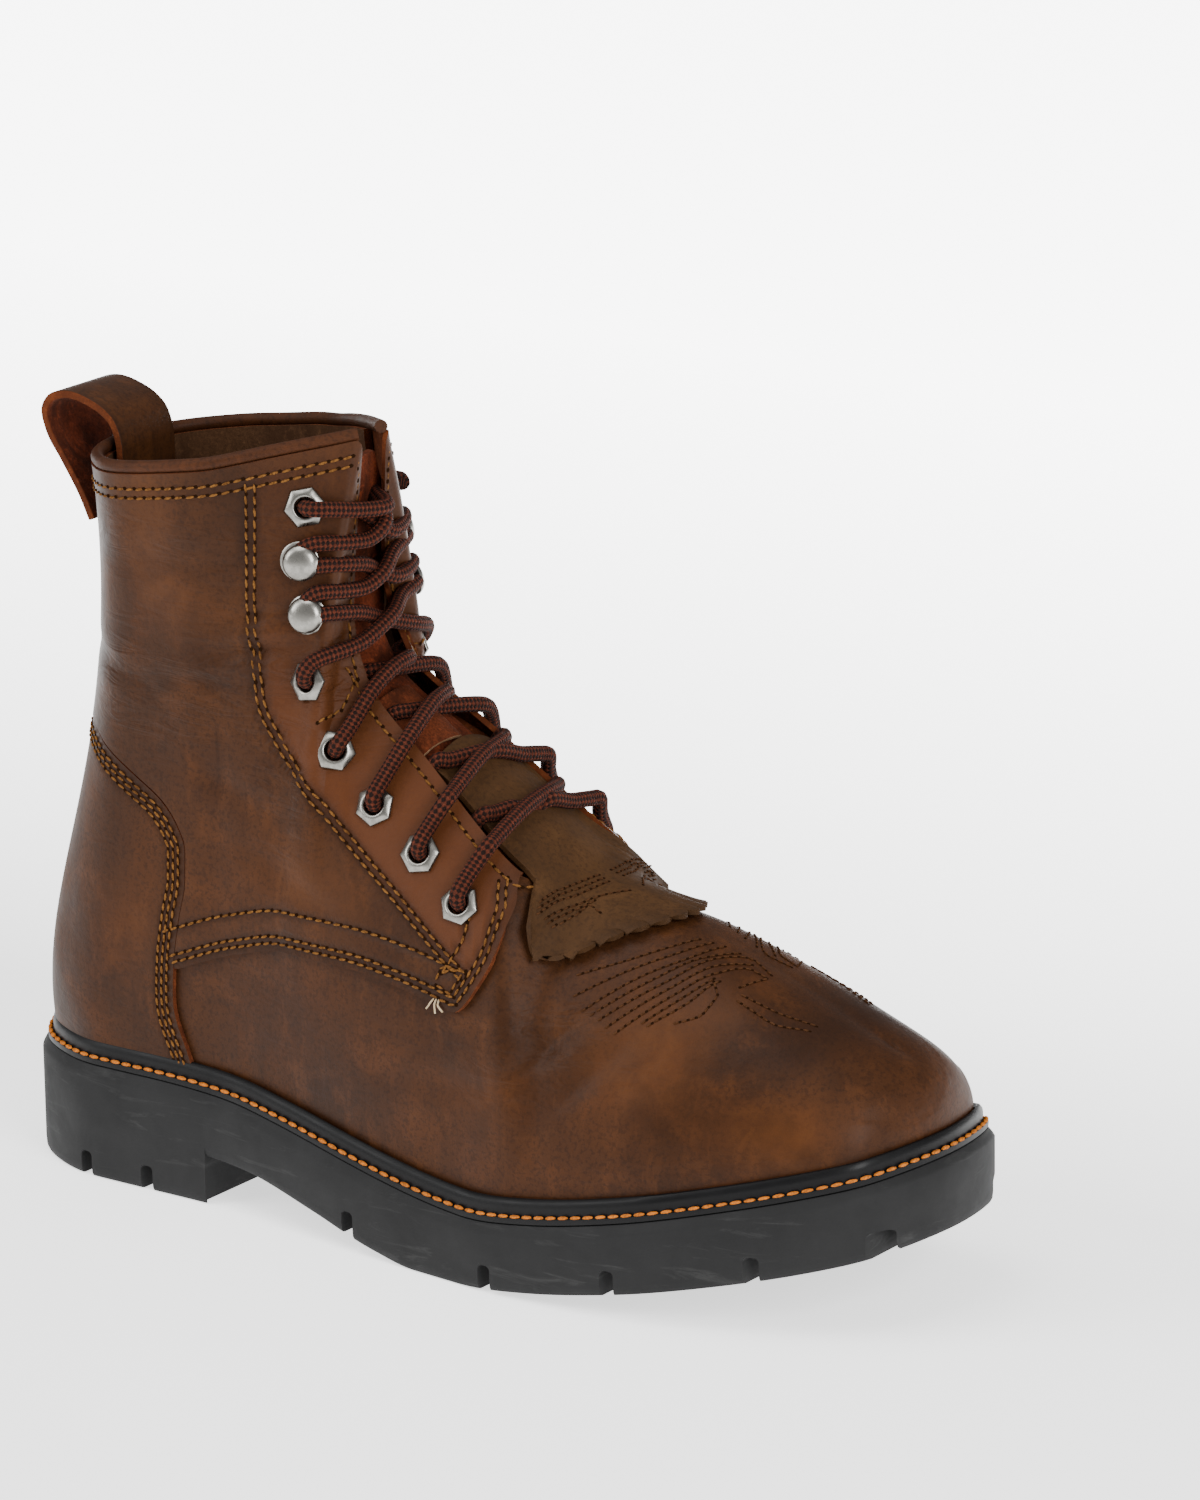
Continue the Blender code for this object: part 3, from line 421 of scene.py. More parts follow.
def skin_sheet(line, rows, lift):
    """A sheet of the upper's own shape over a line of places, creased and moved out by lift."""
    columns = len(line) - 1
    bm, along, up = new_grid(columns, rows)
    place(bm, upper_points(line[np.rint(along * columns).astype(int)], up))
    bmesh.ops.remove_doubles(bm, verts=bm.verts, dist=FINE_MERGE)
    ease_toe(bm)
    ease_facings(bm)
    points = coords(bm)
    place(bm, points + normals(bm) * (lift + creases(points))[:, None])
    return bm


def merge(bm, distance):
    """Joins the vertices of a closed shape that lie together, and turns its faces outwards."""
    bmesh.ops.remove_doubles(bm, verts=bm.verts, dist=distance)
    bmesh.ops.recalc_face_normals(bm, faces=bm.faces)


def face_up(bm):
    bm.normal_update()
    if sum(face.normal.z for face in bm.faces) < 0:
        bmesh.ops.reverse_faces(bm, faces=bm.faces)
    bm.normal_update()


NEAR_ZERO = 1e-4
CUT_MERGE = 0.12


def trim(bm, field):
    """Cuts a sheet along the line where field is zero and keeps the side where it is positive."""
    values = field(coords(bm))
    values[np.abs(values) < NEAR_ZERO] = NEAR_ZERO
    bm.verts.index_update()
    known = list(bm.verts)
    cuts = []
    for edge in bm.edges:
        a, b = edge.verts
        start, end = values[a.index], values[b.index]
        if start * end < 0:
            cuts.append((edge, a, start / (start - end)))
    made = [bmesh.utils.edge_split(edge, vert, share)[1] for edge, vert, share in cuts]
    bmesh.ops.connect_verts(bm, verts=made)
    gone = [vert for vert, value in zip(known, values) if value < 0]
    bmesh.ops.delete(bm, geom=gone, context="VERTS")
    bmesh.ops.remove_doubles(bm, verts=bm.verts, dist=CUT_MERGE)


def mark(bm, name, values):
    """Keeps a value for each vertex that a material reads."""
    layer = bm.verts.layers.float.new(name)
    for vert, value in zip(bm.verts, values):
        vert[layer] = float(value)


# Places where the leather flexes most: middle and reach in the side view, and strength
FLEX = (((106, 158), (24, 15), 1.0), ((60, 150), (30, 16), 0.5), ((206, 72), (20, 16), 0.7),
        ((112, 132), (14, 24), 0.6), ((70, 196), (40, 12), 0.3))

# Dark clouds and lighter rubs of the leather, placed like the flexing. They are partly the leather's own
# mottling and partly painted light: the lighter ones also paint highlight and sheen, such as on the side of
# the toe, and the darker ones paint shade, such as on the top of the toe. Dark ones are negative
CLOUDS_AND_PAINTED_LIGHT = (((90, 208), (12, 22), -0.6), ((64, 200), (12, 26), 0.4), ((78, 176), (18, 10), 0.3),
          ((125, 100), (20, 12), 0.55), ((118, 212), (9, 18), -0.35), ((104, 159), (12, 10), -0.45),
          ((60, 124), (14, 12), -0.45), ((54, 80), (16, 12), 0.35), ((272, 77), (16, 9), -0.9),
          ((212, 74), (14, 9), -0.2), ((250, 82), (12, 8), 0.5), ((278, 56), (18, 9), 0.65),
          ((232, 72), (20, 13), 0.75), ((190, 54), (16, 9), 0.35))
STITCH_PULL = 1.1


def blots(flat, table):
    """Soft blots in the side view, from a table of their middles, reaches and strengths."""
    total = np.zeros(len(flat))
    for middle, reach, strength in table:
        total += strength * np.exp(-(((flat - middle) / reach) ** 2).sum(1))
    return total


def mark_leather(bm, near_edge, reach, rows=()):
    """Marks how near a panel's edge each vertex is, its flexing and clouds, and the pull of stitch rows."""
    flat = side_view(coords(bm))
    mark(bm, "seam", np.clip(1 - near_edge / reach, 0, 1))
    mark(bm, "flex", blots(flat, FLEX))
    # Placed clouds: partly the leather's own tone, partly painted highlight and painted shade
    mark(bm, "cloud", blots(flat, CLOUDS_AND_PAINTED_LIGHT))
    # Stitch grooves: a bump, and darker colour along them as painted shade
    groove = np.zeros(len(flat))
    for line in rows:
        groove = np.maximum(groove, np.exp(-(distance_to_line(flat, line) / STITCH_PULL) ** 2))
    mark(bm, "groove", groove)


def size_of(name):
    """A size from the boot's panel, in millimetres."""
    return getattr(bpy.context.scene.boot_sizes, name) / MM


def new_object(name, bm):
    mesh = bpy.data.meshes.new(name)
    bm.to_mesh(mesh)
    bm.free()
    obj = bpy.data.objects.new(name, mesh)
    bpy.context.scene.collection.objects.link(obj)
    return obj


SHARP_ANGLE = math.radians(42)
RIM_ANGLE = math.radians(48)


def finish(name, bm, looks, nodes=(), wall=0.0, rim=0.0, offset=-1):
    """Makes a piece of a shape in millimetres, and fixes it to the boot's body.

    Three looks are those of a sheet's face, its back and its cut edges.
    """
    place(bm, (coords(bm) + SHIFT) * MM)
    obj = new_object(name, bm)
    obj.data.shade_smooth()
    obj.data.set_sharp_from_angle(angle=SHARP_ANGLE)
    for look in looks:
        obj.data.materials.append(finishes()[look])
    if wall:
        shell = obj.modifiers.new("wall", "SOLIDIFY")
        shell.thickness = wall * MM
        shell.offset = offset
        shell.material_offset, shell.material_offset_rim = (1, 2) if len(looks) == 3 else (0, 0)
    if rim:
        edge = obj.modifiers.new("rounded edges", "BEVEL")
        edge.width = rim * MM
        edge.segments = 2
        edge.limit_method = "ANGLE"
        edge.angle_limit = RIM_ANGLE
        edge.harden_normals = True
    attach(obj, "root")
    if nodes:
        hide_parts(*nodes)
    return obj


def join(pieces):
    """One bmesh out of several."""
    whole = bmesh.new()
    for piece in pieces:
        mesh = bpy.data.meshes.new("piece")
        piece.to_mesh(mesh)
        piece.free()
        whole.from_mesh(mesh)
        bpy.data.meshes.remove(mesh)
    return whole


TIGHT_MERGE = 0.001


def tube(points, radius, sides):
    """A closed round tube along points, with a UV map in millimetres along it and shares round it."""
    count = len(points)
    tangents = unit(np.gradient(points, axis=0))
    across = np.array(Vector(tangents[0]).orthogonal())
    frames = []
    for tangent in tangents:
        across = unit(across - tangent * (across @ tangent))
        frames.append((across, np.cross(tangent, across)))
    bm = bmesh.new()
    layer = bm.loops.layers.uv.new("along")
    bmesh.ops.create_grid(bm, x_segments=count - 1, y_segments=sides, size=0.5, calc_uvs=True)
    flat = coords(bm) + 0.5
    steps = np.rint(flat[:, 0] * (count - 1)).astype(int)
    angles = flat[:, 1:2] * math.tau
    first, second = np.array(frames)[steps].transpose(1, 0, 2)
    place(bm, points[steps] + radius * (first * np.cos(angles) + second * np.sin(angles)))
    length = line_knots(points)[-1]
    for face in bm.faces:
        for loop in face.loops:
            loop[layer].uv.x *= length
    bmesh.ops.remove_doubles(bm, verts=bm.verts, dist=TIGHT_MERGE)
    bmesh.ops.holes_fill(bm, edges=[edge for edge in bm.edges if edge.is_boundary], sides=0)
    bmesh.ops.recalc_face_normals(bm, faces=bm.faces)
    return bm


def turned(profile, steps):
    """A closed ring or button: a profile of radius and height spun about Z."""
    bm = bmesh.new()
    verts = [bm.verts.new((radius, 0, height)) for radius, height in profile]
    edges = [bm.edges.new(pair) for pair in zip(verts, verts[1:])]
    if profile[0][0] > 0:
        edges.append(bm.edges.new((verts[-1], verts[0])))
    full = {"angle": math.tau, "steps": steps, "axis": (0, 0, 1), "cent": (0, 0, 0), "use_merge": True}
    bmesh.ops.spin(bm, geom=verts + edges, **full)
    merge(bm, TIGHT_MERGE)
    return bm


def stand_on(bm, point, normal, turn):
    """Turns a piece that stands on Z 0 so that it stands at point, along normal."""
    tilt = Vector(normal).to_track_quat("Z", "Y").to_matrix().to_4x4()
    spin = Matrix.Rotation(turn, 4, "Z")
    bmesh.ops.transform(bm, matrix=Matrix.Translation(Vector(point)) @ tilt @ spin, verts=bm.verts)


# Materials
def new_material(name):
    material = bpy.data.materials.new(name)
    material.use_nodes = True
    return material, material.node_tree, material.node_tree.nodes["Principled BSDF"]


def node(tree, kind, inputs=None, **settings):
    """A new node. An input is a value or the output socket that it is linked to."""
    made = tree.nodes.new(kind)
    for key, value in settings.items():
        setattr(made, key, value)
    fill(tree, made, inputs or {})
    return made


def connect(tree, socket, value):
    """Links a socket to the output that feeds it, or sets its own value."""
    if isinstance(value, bpy.types.NodeSocket):
        tree.links.new(value, socket)
    else:
        socket.default_value = value


def fill(tree, made, inputs):
    for key, value in inputs.items():
        connect(tree, made.inputs[key], value)


def place_on(tree, scale=(1, 1, 1), turn=(0, 0, 0)):
    """Object coordinates, stretched and turned."""
    where = node(tree, "ShaderNodeTexCoord").outputs["Object"]
    values = {"Vector": where, "Scale": scale, "Rotation": turn}
    return node(tree, "ShaderNodeMapping", values).outputs["Vector"]


def noise(tree, where, scale, detail=4.0, rough=0.55, warp=0.0):
    values = {"Vector": where, "Scale": scale, "Detail": detail, "Roughness": rough, "Distortion": warp}
    return node(tree, "ShaderNodeTexNoise", values).outputs["Fac"]


def ramp(tree, value, *stops):
    """Colours along a value: stops are pairs of a place and a grey."""
    made = node(tree, "ShaderNodeValToRGB", {"Fac": value})
    for point, (where, grey) in zip(made.color_ramp.elements, stops):
        point.position = where
        point.color = (grey, grey, grey, 1)
    return made.outputs["Color"]


def mix(tree, share, first, second):
    made = node(tree, "ShaderNodeMix", data_type="RGBA")
    sockets = [item for item in made.inputs if item.enabled]
    for socket, value in zip(sockets, (share, first, second)):
        connect(tree, socket, (*value, 1) if isinstance(value, tuple) else value)
    return next(item for item in made.outputs if item.enabled)


def layered(tree, colour, layers):
    """A colour with others laid over it one by one, each by its own share."""
    for share, over in layers:
        colour = mix(tree, share, colour, over)
    return colour


def math_node(tree, operation, *values):
    made = node(tree, "ShaderNodeMath", operation=operation)
    for socket, value in zip(made.inputs, values):
        connect(tree, socket, value)
    return made.outputs[0]


def attribute(tree, name):
    return node(tree, "ShaderNodeAttribute", attribute_name=name).outputs["Fac"]


def bump(tree, height, strength, distance, below=None):
    values = {"Height": height, "Strength": strength, "Distance": distance * MM}
    if below is not None:
        values["Normal"] = below
    return node(tree, "ShaderNodeBump", values).outputs["Normal"]


def times(tree, first, second):
    return math_node(tree, "MULTIPLY", first, second)


WRINKLES = 0.8


def leather_bump(tree, where):
    """Pores, fine wrinkles and soft unevenness of oiled leather. It wrinkles most where it flexes."""
    cells = {"Vector": where, "Scale": 1250.0, "Randomness": 1.0}
    pores = node(tree, "ShaderNodeTexVoronoi", cells, feature="DISTANCE_TO_EDGE").outputs["Distance"]
    fine = noise(tree, where, 900.0, 3.0, 0.6)
    wide = noise(tree, where, 110.0, 3.0, 0.5, 0.4)
    wrinkles = noise(tree, place_on(tree, (50, 60, 190), (0.1, 0.15, 0.0)), 1.0, 3.0, 0.5, 1.6)
    flex = math_node(tree, "MULTIPLY_ADD", attribute(tree, "flex"), 1.0, 0.12)
    normal = bump(tree, wide, 0.35, 0.6)
    normal = bump(tree, times(tree, wrinkles, flex), WRINKLES, 1.6, normal)
    normal = bump(tree, fine, 0.3, 0.12, normal)
    normal = bump(tree, times(tree, attribute(tree, "groove"), -1.0), 0.8, 0.5, normal)
    return bump(tree, pores, 0.28, 0.1, normal)


def leather(name, base, dark, rub, roughness, facing=None):
    """Oiled pull-up leather: cloudy dark patches, lighter rubs, pores and a soft waxy shine."""
    material, tree, shader = new_material(name)
    where = place_on(tree)
    clouds = noise(tree, where, 26.0, 3.0, 0.5, 0.8)
    patches = noise(tree, where, 70.0, 4.0, 0.55, 0.5)
    streaks = noise(tree, place_on(tree, (160, 160, 45), (0.5, 0.2, 0.4)), 1.0, 4.0, 0.6, 0.6)
    speck = noise(tree, where, 800.0, 2.0, 0.6)
    # The placed clouds: partly the leather's own tone, partly painted highlight and painted shade
    placed_clouds_and_light = times(tree, attribute(tree, "cloud"), ramp(tree, patches, (0.3, 0.45), (0.62, 1.0)))
    layers = [
        (ramp(tree, clouds, (0.3, 0.3), (0.66, 1.0)), base),
        (ramp(tree, patches, (0.5, 0.0), (0.85, 0.65)), rub),
        (ramp(tree, streaks, (0.54, 0.0), (0.8, 0.5)), rub),
        (ramp(tree, streaks, (0.2, 0.6), (0.42, 0.0)), dark),
        (ramp(tree, speck, (0.34, 0.5), (0.52, 0.0)), dark),
        # Positive placed clouds give lighter rubs and painted highlight, negative ones darker tone and
        # painted shade
        (math_node(tree, "MAXIMUM", placed_clouds_and_light, 0.0), rub),
        (math_node(tree, "MAXIMUM", times(tree, placed_clouds_and_light, -1.0), 0.0), dark),
    ]
    if facing:
        layers.append((times(tree, attribute(tree, "facing"), 0.7), facing))
    layers.append((times(tree, attribute(tree, "seam"), ramp(tree, patches, (0.4, 0.1), (0.6, 0.6))), dark))
    # Darker along the stitch rows: painted shade in their grooves
    layers.append((times(tree, attribute(tree, "groove"), 0.7), dark))
    fill(tree, shader, {
        "Base Color": layered(tree, dark, layers),
        "Roughness": ramp(tree, clouds, (0.3, roughness - 0.07), (0.7, roughness + 0.1)),
        "Specular IOR Level": 0.09,
        "Normal": leather_bump(tree, where),
    })
    return material


def suede(name, base, dark):
    """Suede or rough cut leather: a soft nap with pale tufts and darker strokes."""
    material, tree, shader = new_material(name)
    where = place_on(tree)
    nap = noise(tree, where, 1300.0, 4.0, 0.7)
    tufts = noise(tree, where, 420.0, 3.0, 0.6)
    strokes = noise(tree, place_on(tree, (90, 90, 40)), 1.0, 4.0, 0.6, 0.8)
    pale = tuple(min(channel * 1.9, 1.0) for channel in base)
    layers = [
        (ramp(tree, strokes, (0.35, 0.0), (0.62, 1.0)), base),
        (ramp(tree, tufts, (0.55, 0.0), (0.75, 0.6)), pale),
        (ramp(tree, nap, (0.4, 0.6), (0.6, 0.0)), dark),
    ]
    fill(tree, shader, {
        "Base Color": layered(tree, dark, layers), "Roughness": 0.95, "Specular IOR Level": 0.08,
        "Sheen Weight": 0.05, "Sheen Roughness": 0.4, "Sheen Tint": (0.7, 0.3, 0.15, 1),
        "Normal": bump(tree, nap, 0.5, 0.25, bump(tree, tufts, 0.5, 0.4, bump(tree, strokes, 0.5, 0.8))),
    })
    return material


def rubber(name, base, pale, roughness, scuff, gloss):
    """Dull rubber with pale scuffs that run along it."""
    material, tree, shader = new_material(name)
    where = place_on(tree)
    clouds = noise(tree, where, 60.0, 5.0, 0.6, 0.3)
    scuffs = noise(tree, place_on(tree, (30, 30, 220)), 1.0, 6.0, 0.7, 0.8)
    grain = noise(tree, where, 1400.0, 2.0, 0.6)
    fill(tree, shader, {
        "Base Color": mix(tree, ramp(tree, scuffs, (0.56, 0.0), (0.78, scuff)), base, pale),
        "Roughness": ramp(tree, clouds, (0.3, roughness - 0.06), (0.7, roughness + 0.1)),
        "Specular IOR Level": gloss,
        "Normal": bump(tree, grain, 0.25, 0.08, bump(tree, clouds, 0.2, 0.3)),
    })
    return material


def metal(name, base, roughness):
    """Nickel with darker, duller tarnish."""
    material, tree, shader = new_material(name)
    tarnish = noise(tree, place_on(tree), 420.0, 4.0, 0.6)
    dull = tuple(channel * 0.5 for channel in base)
    fill(tree, shader, {
        "Base Color": mix(tree, ramp(tree, tarnish, (0.4, 0.55), (0.62, 0.0)), base, dull),
        "Roughness": ramp(tree, tarnish, (0.35, roughness + 0.14), (0.65, roughness)),
        "Metallic": 1.0,
        "Normal": bump(tree, tarnish, 0.15, 0.05),
    })
    return material


BRAID_PITCH = 2.6
BRAID_STRANDS = 4


def braid(name, dark, bright):
    """Round braided cord: two sets of strands that cross, from the cord's own UV map."""
    material, tree, shader = new_material(name)
    uv = node(tree, "ShaderNodeUVMap", uv_map="along").outputs["UV"]
    axes = node(tree, "ShaderNodeSeparateXYZ", {"Vector": uv}).outputs
    along = times(tree, axes["X"], math.tau / BRAID_PITCH)
    round_cord = times(tree, axes["Y"], math.tau * BRAID_STRANDS)
    sets = [math_node(tree, "SINE", math_node(tree, way, along, round_cord)) for way in ("ADD", "SUBTRACT")]
    weave = times(tree, *sets)
    share = math_node(tree, "MULTIPLY_ADD", weave, 0.5, 0.5)
    fibres = noise(tree, place_on(tree), 1600.0, 2.0, 0.7)
    layers = [
        (ramp(tree, share, (0.35, 0.0), (0.7, 1.0)), bright),
        (ramp(tree, fibres, (0.4, 0.5), (0.6, 0.0)), dark),
    ]
    strands = bump(tree, math_node(tree, "ABSOLUTE", weave), 0.8, 0.45)
    fill(tree, shader, {
        "Base Color": layered(tree, dark, layers), "Roughness": 0.85, "Specular IOR Level": 0.12,
        "Normal": bump(tree, fibres, 0.3, 0.1, strands),
    })
    return material


def thread(name, base, dark):
    """Twisted thread, worn darker in places."""
    material, tree, shader = new_material(name)
    where = place_on(tree)
    twist = noise(tree, where, 1100.0, 3.0, 0.7)
    worn = noise(tree, where, 70.0, 3.0, 0.6)
    layers = [
        (ramp(tree, twist, (0.35, 0.8), (0.6, 0.0)), dark),
        (ramp(tree, worn, (0.5, 0.0), (0.75, 0.5)), dark),
    ]
    fill(tree, shader, {
        "Base Color": layered(tree, base, layers), "Roughness": 0.9, "Specular IOR Level": 0.02,
        "Normal": bump(tree, twist, 0.5, 0.15),
    })
    return material


@functools.lru_cache(None)
def finishes():
    """All the boot's materials, in the colours of its panel where it has them."""
    chosen = bpy.context.scene.boot_colours
    c = {name: tuple(getattr(chosen, name)) for name in BootColours.__annotations__}
    oiled = (c["leather"], c["leather_dark"], c["leather_rub"])
    grain = (c["kiltie"], (0.022, 0.0105, 0.0045), (0.075, 0.034, 0.012))
    rolled = ((0.045, 0.0148, 0.0052), c["leather_dark"], (0.075, 0.023, 0.007))
    # Dark colours of the needle holes: painted shade in the holes
    hole = ((0.0125, 0.0055, 0.0025), (0.018, 0.008, 0.004))
    return {
        "leather": leather("oiled_leather_look", *oiled, 0.46),
        "quarter": leather("quarter_leather_look", *oiled, 0.46, c["facing"]),
        "counter": leather("counter_leather_look", *oiled, 0.5),
        "kiltie": leather("kiltie_leather_look", *grain, 0.66),
        "piping": leather("piping_leather_look", *rolled, 0.55),
        "lining": suede("lining_leather_look", (0.055, 0.026, 0.012), (0.03, 0.013, 0.006)),
        "raw edge": suede("raw_edge_look", c["raw_edge"], (0.05, 0.013, 0.005)),
        "pale edge": suede("pale_edge_look", (0.3, 0.18, 0.1), (0.16, 0.08, 0.04)),
        "suede": suede("tongue_suede_look", c["suede"], (0.026, 0.0065, 0.003)),
        "keeper suede": suede("keeper_suede_look", (0.095, 0.0225, 0.0082), (0.028, 0.0078, 0.0036)),
        "rubber": rubber("sole_rubber_look", c["rubber"], (0.045, 0.045, 0.044), 0.68, 0.55, 0.22),
        "welt": rubber("welt_rubber_look", (0.003, 0.003, 0.0033), (0.008, 0.008, 0.008), 0.4, 0.2, 0.14),
        "nickel": metal("nickel_look", (0.27, 0.26, 0.235), 0.24),
        "lace": braid("lace_braid_look", (0.008, 0.003, 0.002), c["lace"]),
        "tan thread": thread("tan_thread_look", c["thread"], (0.035, 0.013, 0.005)),
        "dark thread": thread("dark_thread_look", (0.06, 0.026, 0.0115), (0.03, 0.0125, 0.0055)),
        "pale thread": thread("pale_thread_look", (0.45, 0.36, 0.24), (0.3, 0.2, 0.1)),
        "welt thread": thread("welt_thread_look", c["welt_thread"], (0.16, 0.05, 0.012)),
        # Painted shade of the needle holes, on flat dark beads
        "needle hole": rubber("needle_hole_look", *hole, 0.95, 0.3, 0.0),
    }


# Panels of the upper, with the gaps of their stitch rows from their edges
FACING_ROWS = (-1.1, 1.1)
QUARTER_ROWS = (2.2, 4.2, 11.5)
COUNTER_ROWS = (2.3, 4.1, 5.9)


def counter_line(offset):
    """Side view of the counter's front edge, from its floor to its top."""
    heights = np.linspace(COUNTER_FLOOR, COUNTER_EDGE[-1][0], 60)
    return list(zip(counter_edge(heights) + offset, heights + offset))


def counter_outline():
    line = counter_line(0)
    return [(FAR_BEHIND, COUNTER_FLOOR)] + line + [(FAR_BEHIND, line[-1][1])]


def quarter_outline():
    line = [(x, z) for x, z in counter_line(0.4) if z > QUARTER_EDGE[0][1]]
    low = [tuple(point) for point in smooth_path([(x, z) for x, z in QUARTER_EDGE], 80)]
    return low + list(QUARTER_FRONT) + [(FAR_BEHIND, FAR_ABOVE), (FAR_BEHIND, line[-1][1])] + line[::-1]


FACING_FOOT = 60.0
SEAM_REACH = 7.0
SKIN_STEP = 3.0
PANEL_STEP = 1.5
PANEL_ROWS = 120
PANEL_RIM = 0.35
SEAT_REACH = ((0, 0), (-3, 0), (2, 0), (0, 3), (0, -3))


def facing_outline():
    back = FACING_LINE[0][0]
    return list(FACING_LINE) + [(QUARTER_END, FACING_FOOT), (QUARTER_END, FAR_ABOVE), (back, FAR_ABOVE)]


# Small steps round the loop and down from the top edge, for directions there
NUDGE = 0.6
NUDGE_DOWN = 0.02


def panel_places(side, step):
    """Places of one side's half of the boot, from the back of the heel to the front of the throat."""
    if side == LATERAL:
        return places_between(0.0, AT["throat_end"], step)
    return places_between(ROUND - AT["throat_end"], ROUND, step)


@functools.lru_cache(None)
def upper_skin():
    return BVHTree.FromBMesh(skin_sheet(places_between(0.0, ROUND, SKIN_STEP), 60, 0.0))


@functools.lru_cache(None)
def quarter_skin(side):
    return BVHTree.FromBMesh(skin_sheet(panel_places(side, SKIN_STEP), 70, QUARTER_LIFT))


def on_side(skin, x, z, side):
    """Point and outward normal where a line across the boot at x and z meets a skin from one side."""
    hit, normal = skin.ray_cast(Vector((x, side * FAR_ASIDE, z)), Vector((0, -side, 0)))[:2]
    if hit is None:
        raise RuntimeError(f"no leather at x {x}, z {z}")
    return np.array(hit), np.array(normal if normal.y * side > 0 else -normal)


@functools.lru_cache(None)
def seats(side):
    """Point and normal of each lace row's fitting on the outside of one quarter."""
    skin = quarter_skin(side)
    found = []
    for kind, x, z in LACE_ROWS:
        around = [on_side(skin, x + dx, z + dz, side)[1] for dx, dz in SEAT_REACH]
        found.append((on_side(skin, x, z, side)[0], unit(sum(around))))
    return found


LACE_HOLE_RADIUS = 3.2
LACE_HOLE_DEPTH = 6.0
LACE_HOLE_FROM_MIDDLE = 8.0
CLEAR_OF_LACE_HOLES = 9.0


def lace_hole_field(points):
    """Positive outside the lace holes of both sides."""
    best = np.full(len(points), CLEAR_OF_LACE_HOLES)
    for side in (LATERAL, MEDIAL):
        for (kind, x, z), (seat, normal) in zip(LACE_ROWS, seats(side)):
            if kind == "eyelet":
                away = points - seat
                depth = away @ normal
                radial = np.linalg.norm(away - depth[:, None] * normal, axis=1)
                near = (np.abs(depth) < LACE_HOLE_DEPTH) & (points[:, 1] * side > LACE_HOLE_FROM_MIDDLE)
                best = np.where(near, np.minimum(best, radial - LACE_HOLE_RADIUS), best)
    return best


FACING_ALONE = 15.0
FACING_ALONE_FROM = 130.0
FACING_FADE = 20.0
FACING_MARGIN = 0.5


def off_facings(points):
    """Positive where the upper is kept. In the top part of each facing the quarter stands alone."""
    t = np.linspace(AT["collar_front"], AT["throat_end"], 160)
    edge = np.concatenate([upper_points(at, np.ones_like(at)) for at in (t, ROUND - t)])
    away = np.linalg.norm(points[:, None] - edge[None], axis=2).min(1)
    share = np.clip((points[:, 2] - FACING_ALONE_FROM) / FACING_FADE, 0, 1)
    return away + FACING_MARGIN - FACING_ALONE * share


UPPER_WALL = 2.2
UPPER_STEP = 2.4
UPPER_ROWS = 72


def build_upper():
    bm = skin_sheet(places_between(0.0, ROUND, UPPER_STEP), UPPER_ROWS, 0.0)
    trim(bm, lace_hole_field)
    trim(bm, off_facings)
    mark_leather(bm, np.full(len(bm.verts), FAR_ASIDE), SEAM_REACH)
    looks = ["leather", "lining", "raw edge"]
    finish("upper_leather", bm, looks, ["upper"], UPPER_WALL, 0.4)


def counter_sheet(step, rows):
    return skin_sheet(places_between(-AT["collar_front"], AT["collar_front"], step), rows, COUNTER_LIFT)


def build_counter():
    bm = counter_sheet(PANEL_STEP, PANEL_ROWS)
    outline = counter_outline()
    trim(bm, lambda points: inside_outline(side_view(points), outline))
    near = distance_to_line(side_view(coords(bm)), counter_line(0))
    mark_leather(bm, near, SEAM_REACH, [beside(counter_line(0), gap) for gap in COUNTER_ROWS])
    looks = ["counter", "raw edge", "raw edge"]
    finish("heel_counter", bm, looks, ["counter"], size_of("panel_wall"), PANEL_RIM)


# The facing's own colour fades out from FACING_PALE towards the collar
FACING_PALE = 185.0
FACING_PALE_REACH = 45.0
FACING_LEAST = 0.2
FACING_EDGE = 1.5


def build_quarters():
    outline = quarter_outline()
    rows = [beside(FACING_LINE, gap) for gap in FACING_ROWS]
    rows += [beside(QUARTER_EDGE, gap) for gap in QUARTER_ROWS]
    looks = ["quarter", "raw edge", "raw edge"]
    for side, name in SIDE_NAMES.items():
        bm = skin_sheet(panel_places(side, PANEL_STEP), PANEL_ROWS, QUARTER_LIFT)
        trim(bm, lambda points: inside_outline(side_view(points), outline))
        trim(bm, lace_hole_field)
        flat = side_view(coords(bm))
        inside = np.clip(inside_outline(flat, facing_outline()) / FACING_EDGE + 0.5, 0, 1)
        pale = np.clip((FACING_PALE - flat[:, 1]) / FACING_PALE_REACH, FACING_LEAST, 1)
        mark(bm, "facing", inside * pale)
        near = np.minimum(distance_to_line(flat, QUARTER_EDGE), distance_to_line(flat, FACING_LINE) + 2)
        mark_leather(bm, near, SEAM_REACH, rows)
        finish(f"quarter_{name}_leather", bm, looks, ["quarter_" + name],
               size_of("panel_wall"), PANEL_RIM)


STRIP_HALF = 8.5
STRIP_FOOT, STRIP_TOP = 139.0, 187.0
STRIP_REACH = 30.0
STRIP_WALL = 1.3


def build_back_strip():
    bm = skin_sheet(places_between(-STRIP_REACH, STRIP_REACH, PANEL_STEP), PANEL_ROWS, STRIP_LIFT)

    def field(points):
        x, y, z = points.T
        inside = np.minimum(np.minimum(STRIP_HALF - np.abs(y), STRIP_TOP - z), z - STRIP_FOOT)
        return np.where(x < HEEL_BREAST, inside, -1)

    trim(bm, field)
    mark_leather(bm, STRIP_HALF - np.abs(coords(bm)[:, 1]), 4)
    looks = ["leather", "raw edge", "raw edge"]
    finish("back_strip_leather", bm, looks, ["back_strip"], STRIP_WALL, 0.3)


PIPING_RADIUS = 1.9
PIPING_UP = 1.7
PIPING_LEAST_UP = 1.6
PIPING_OUT = 0.1


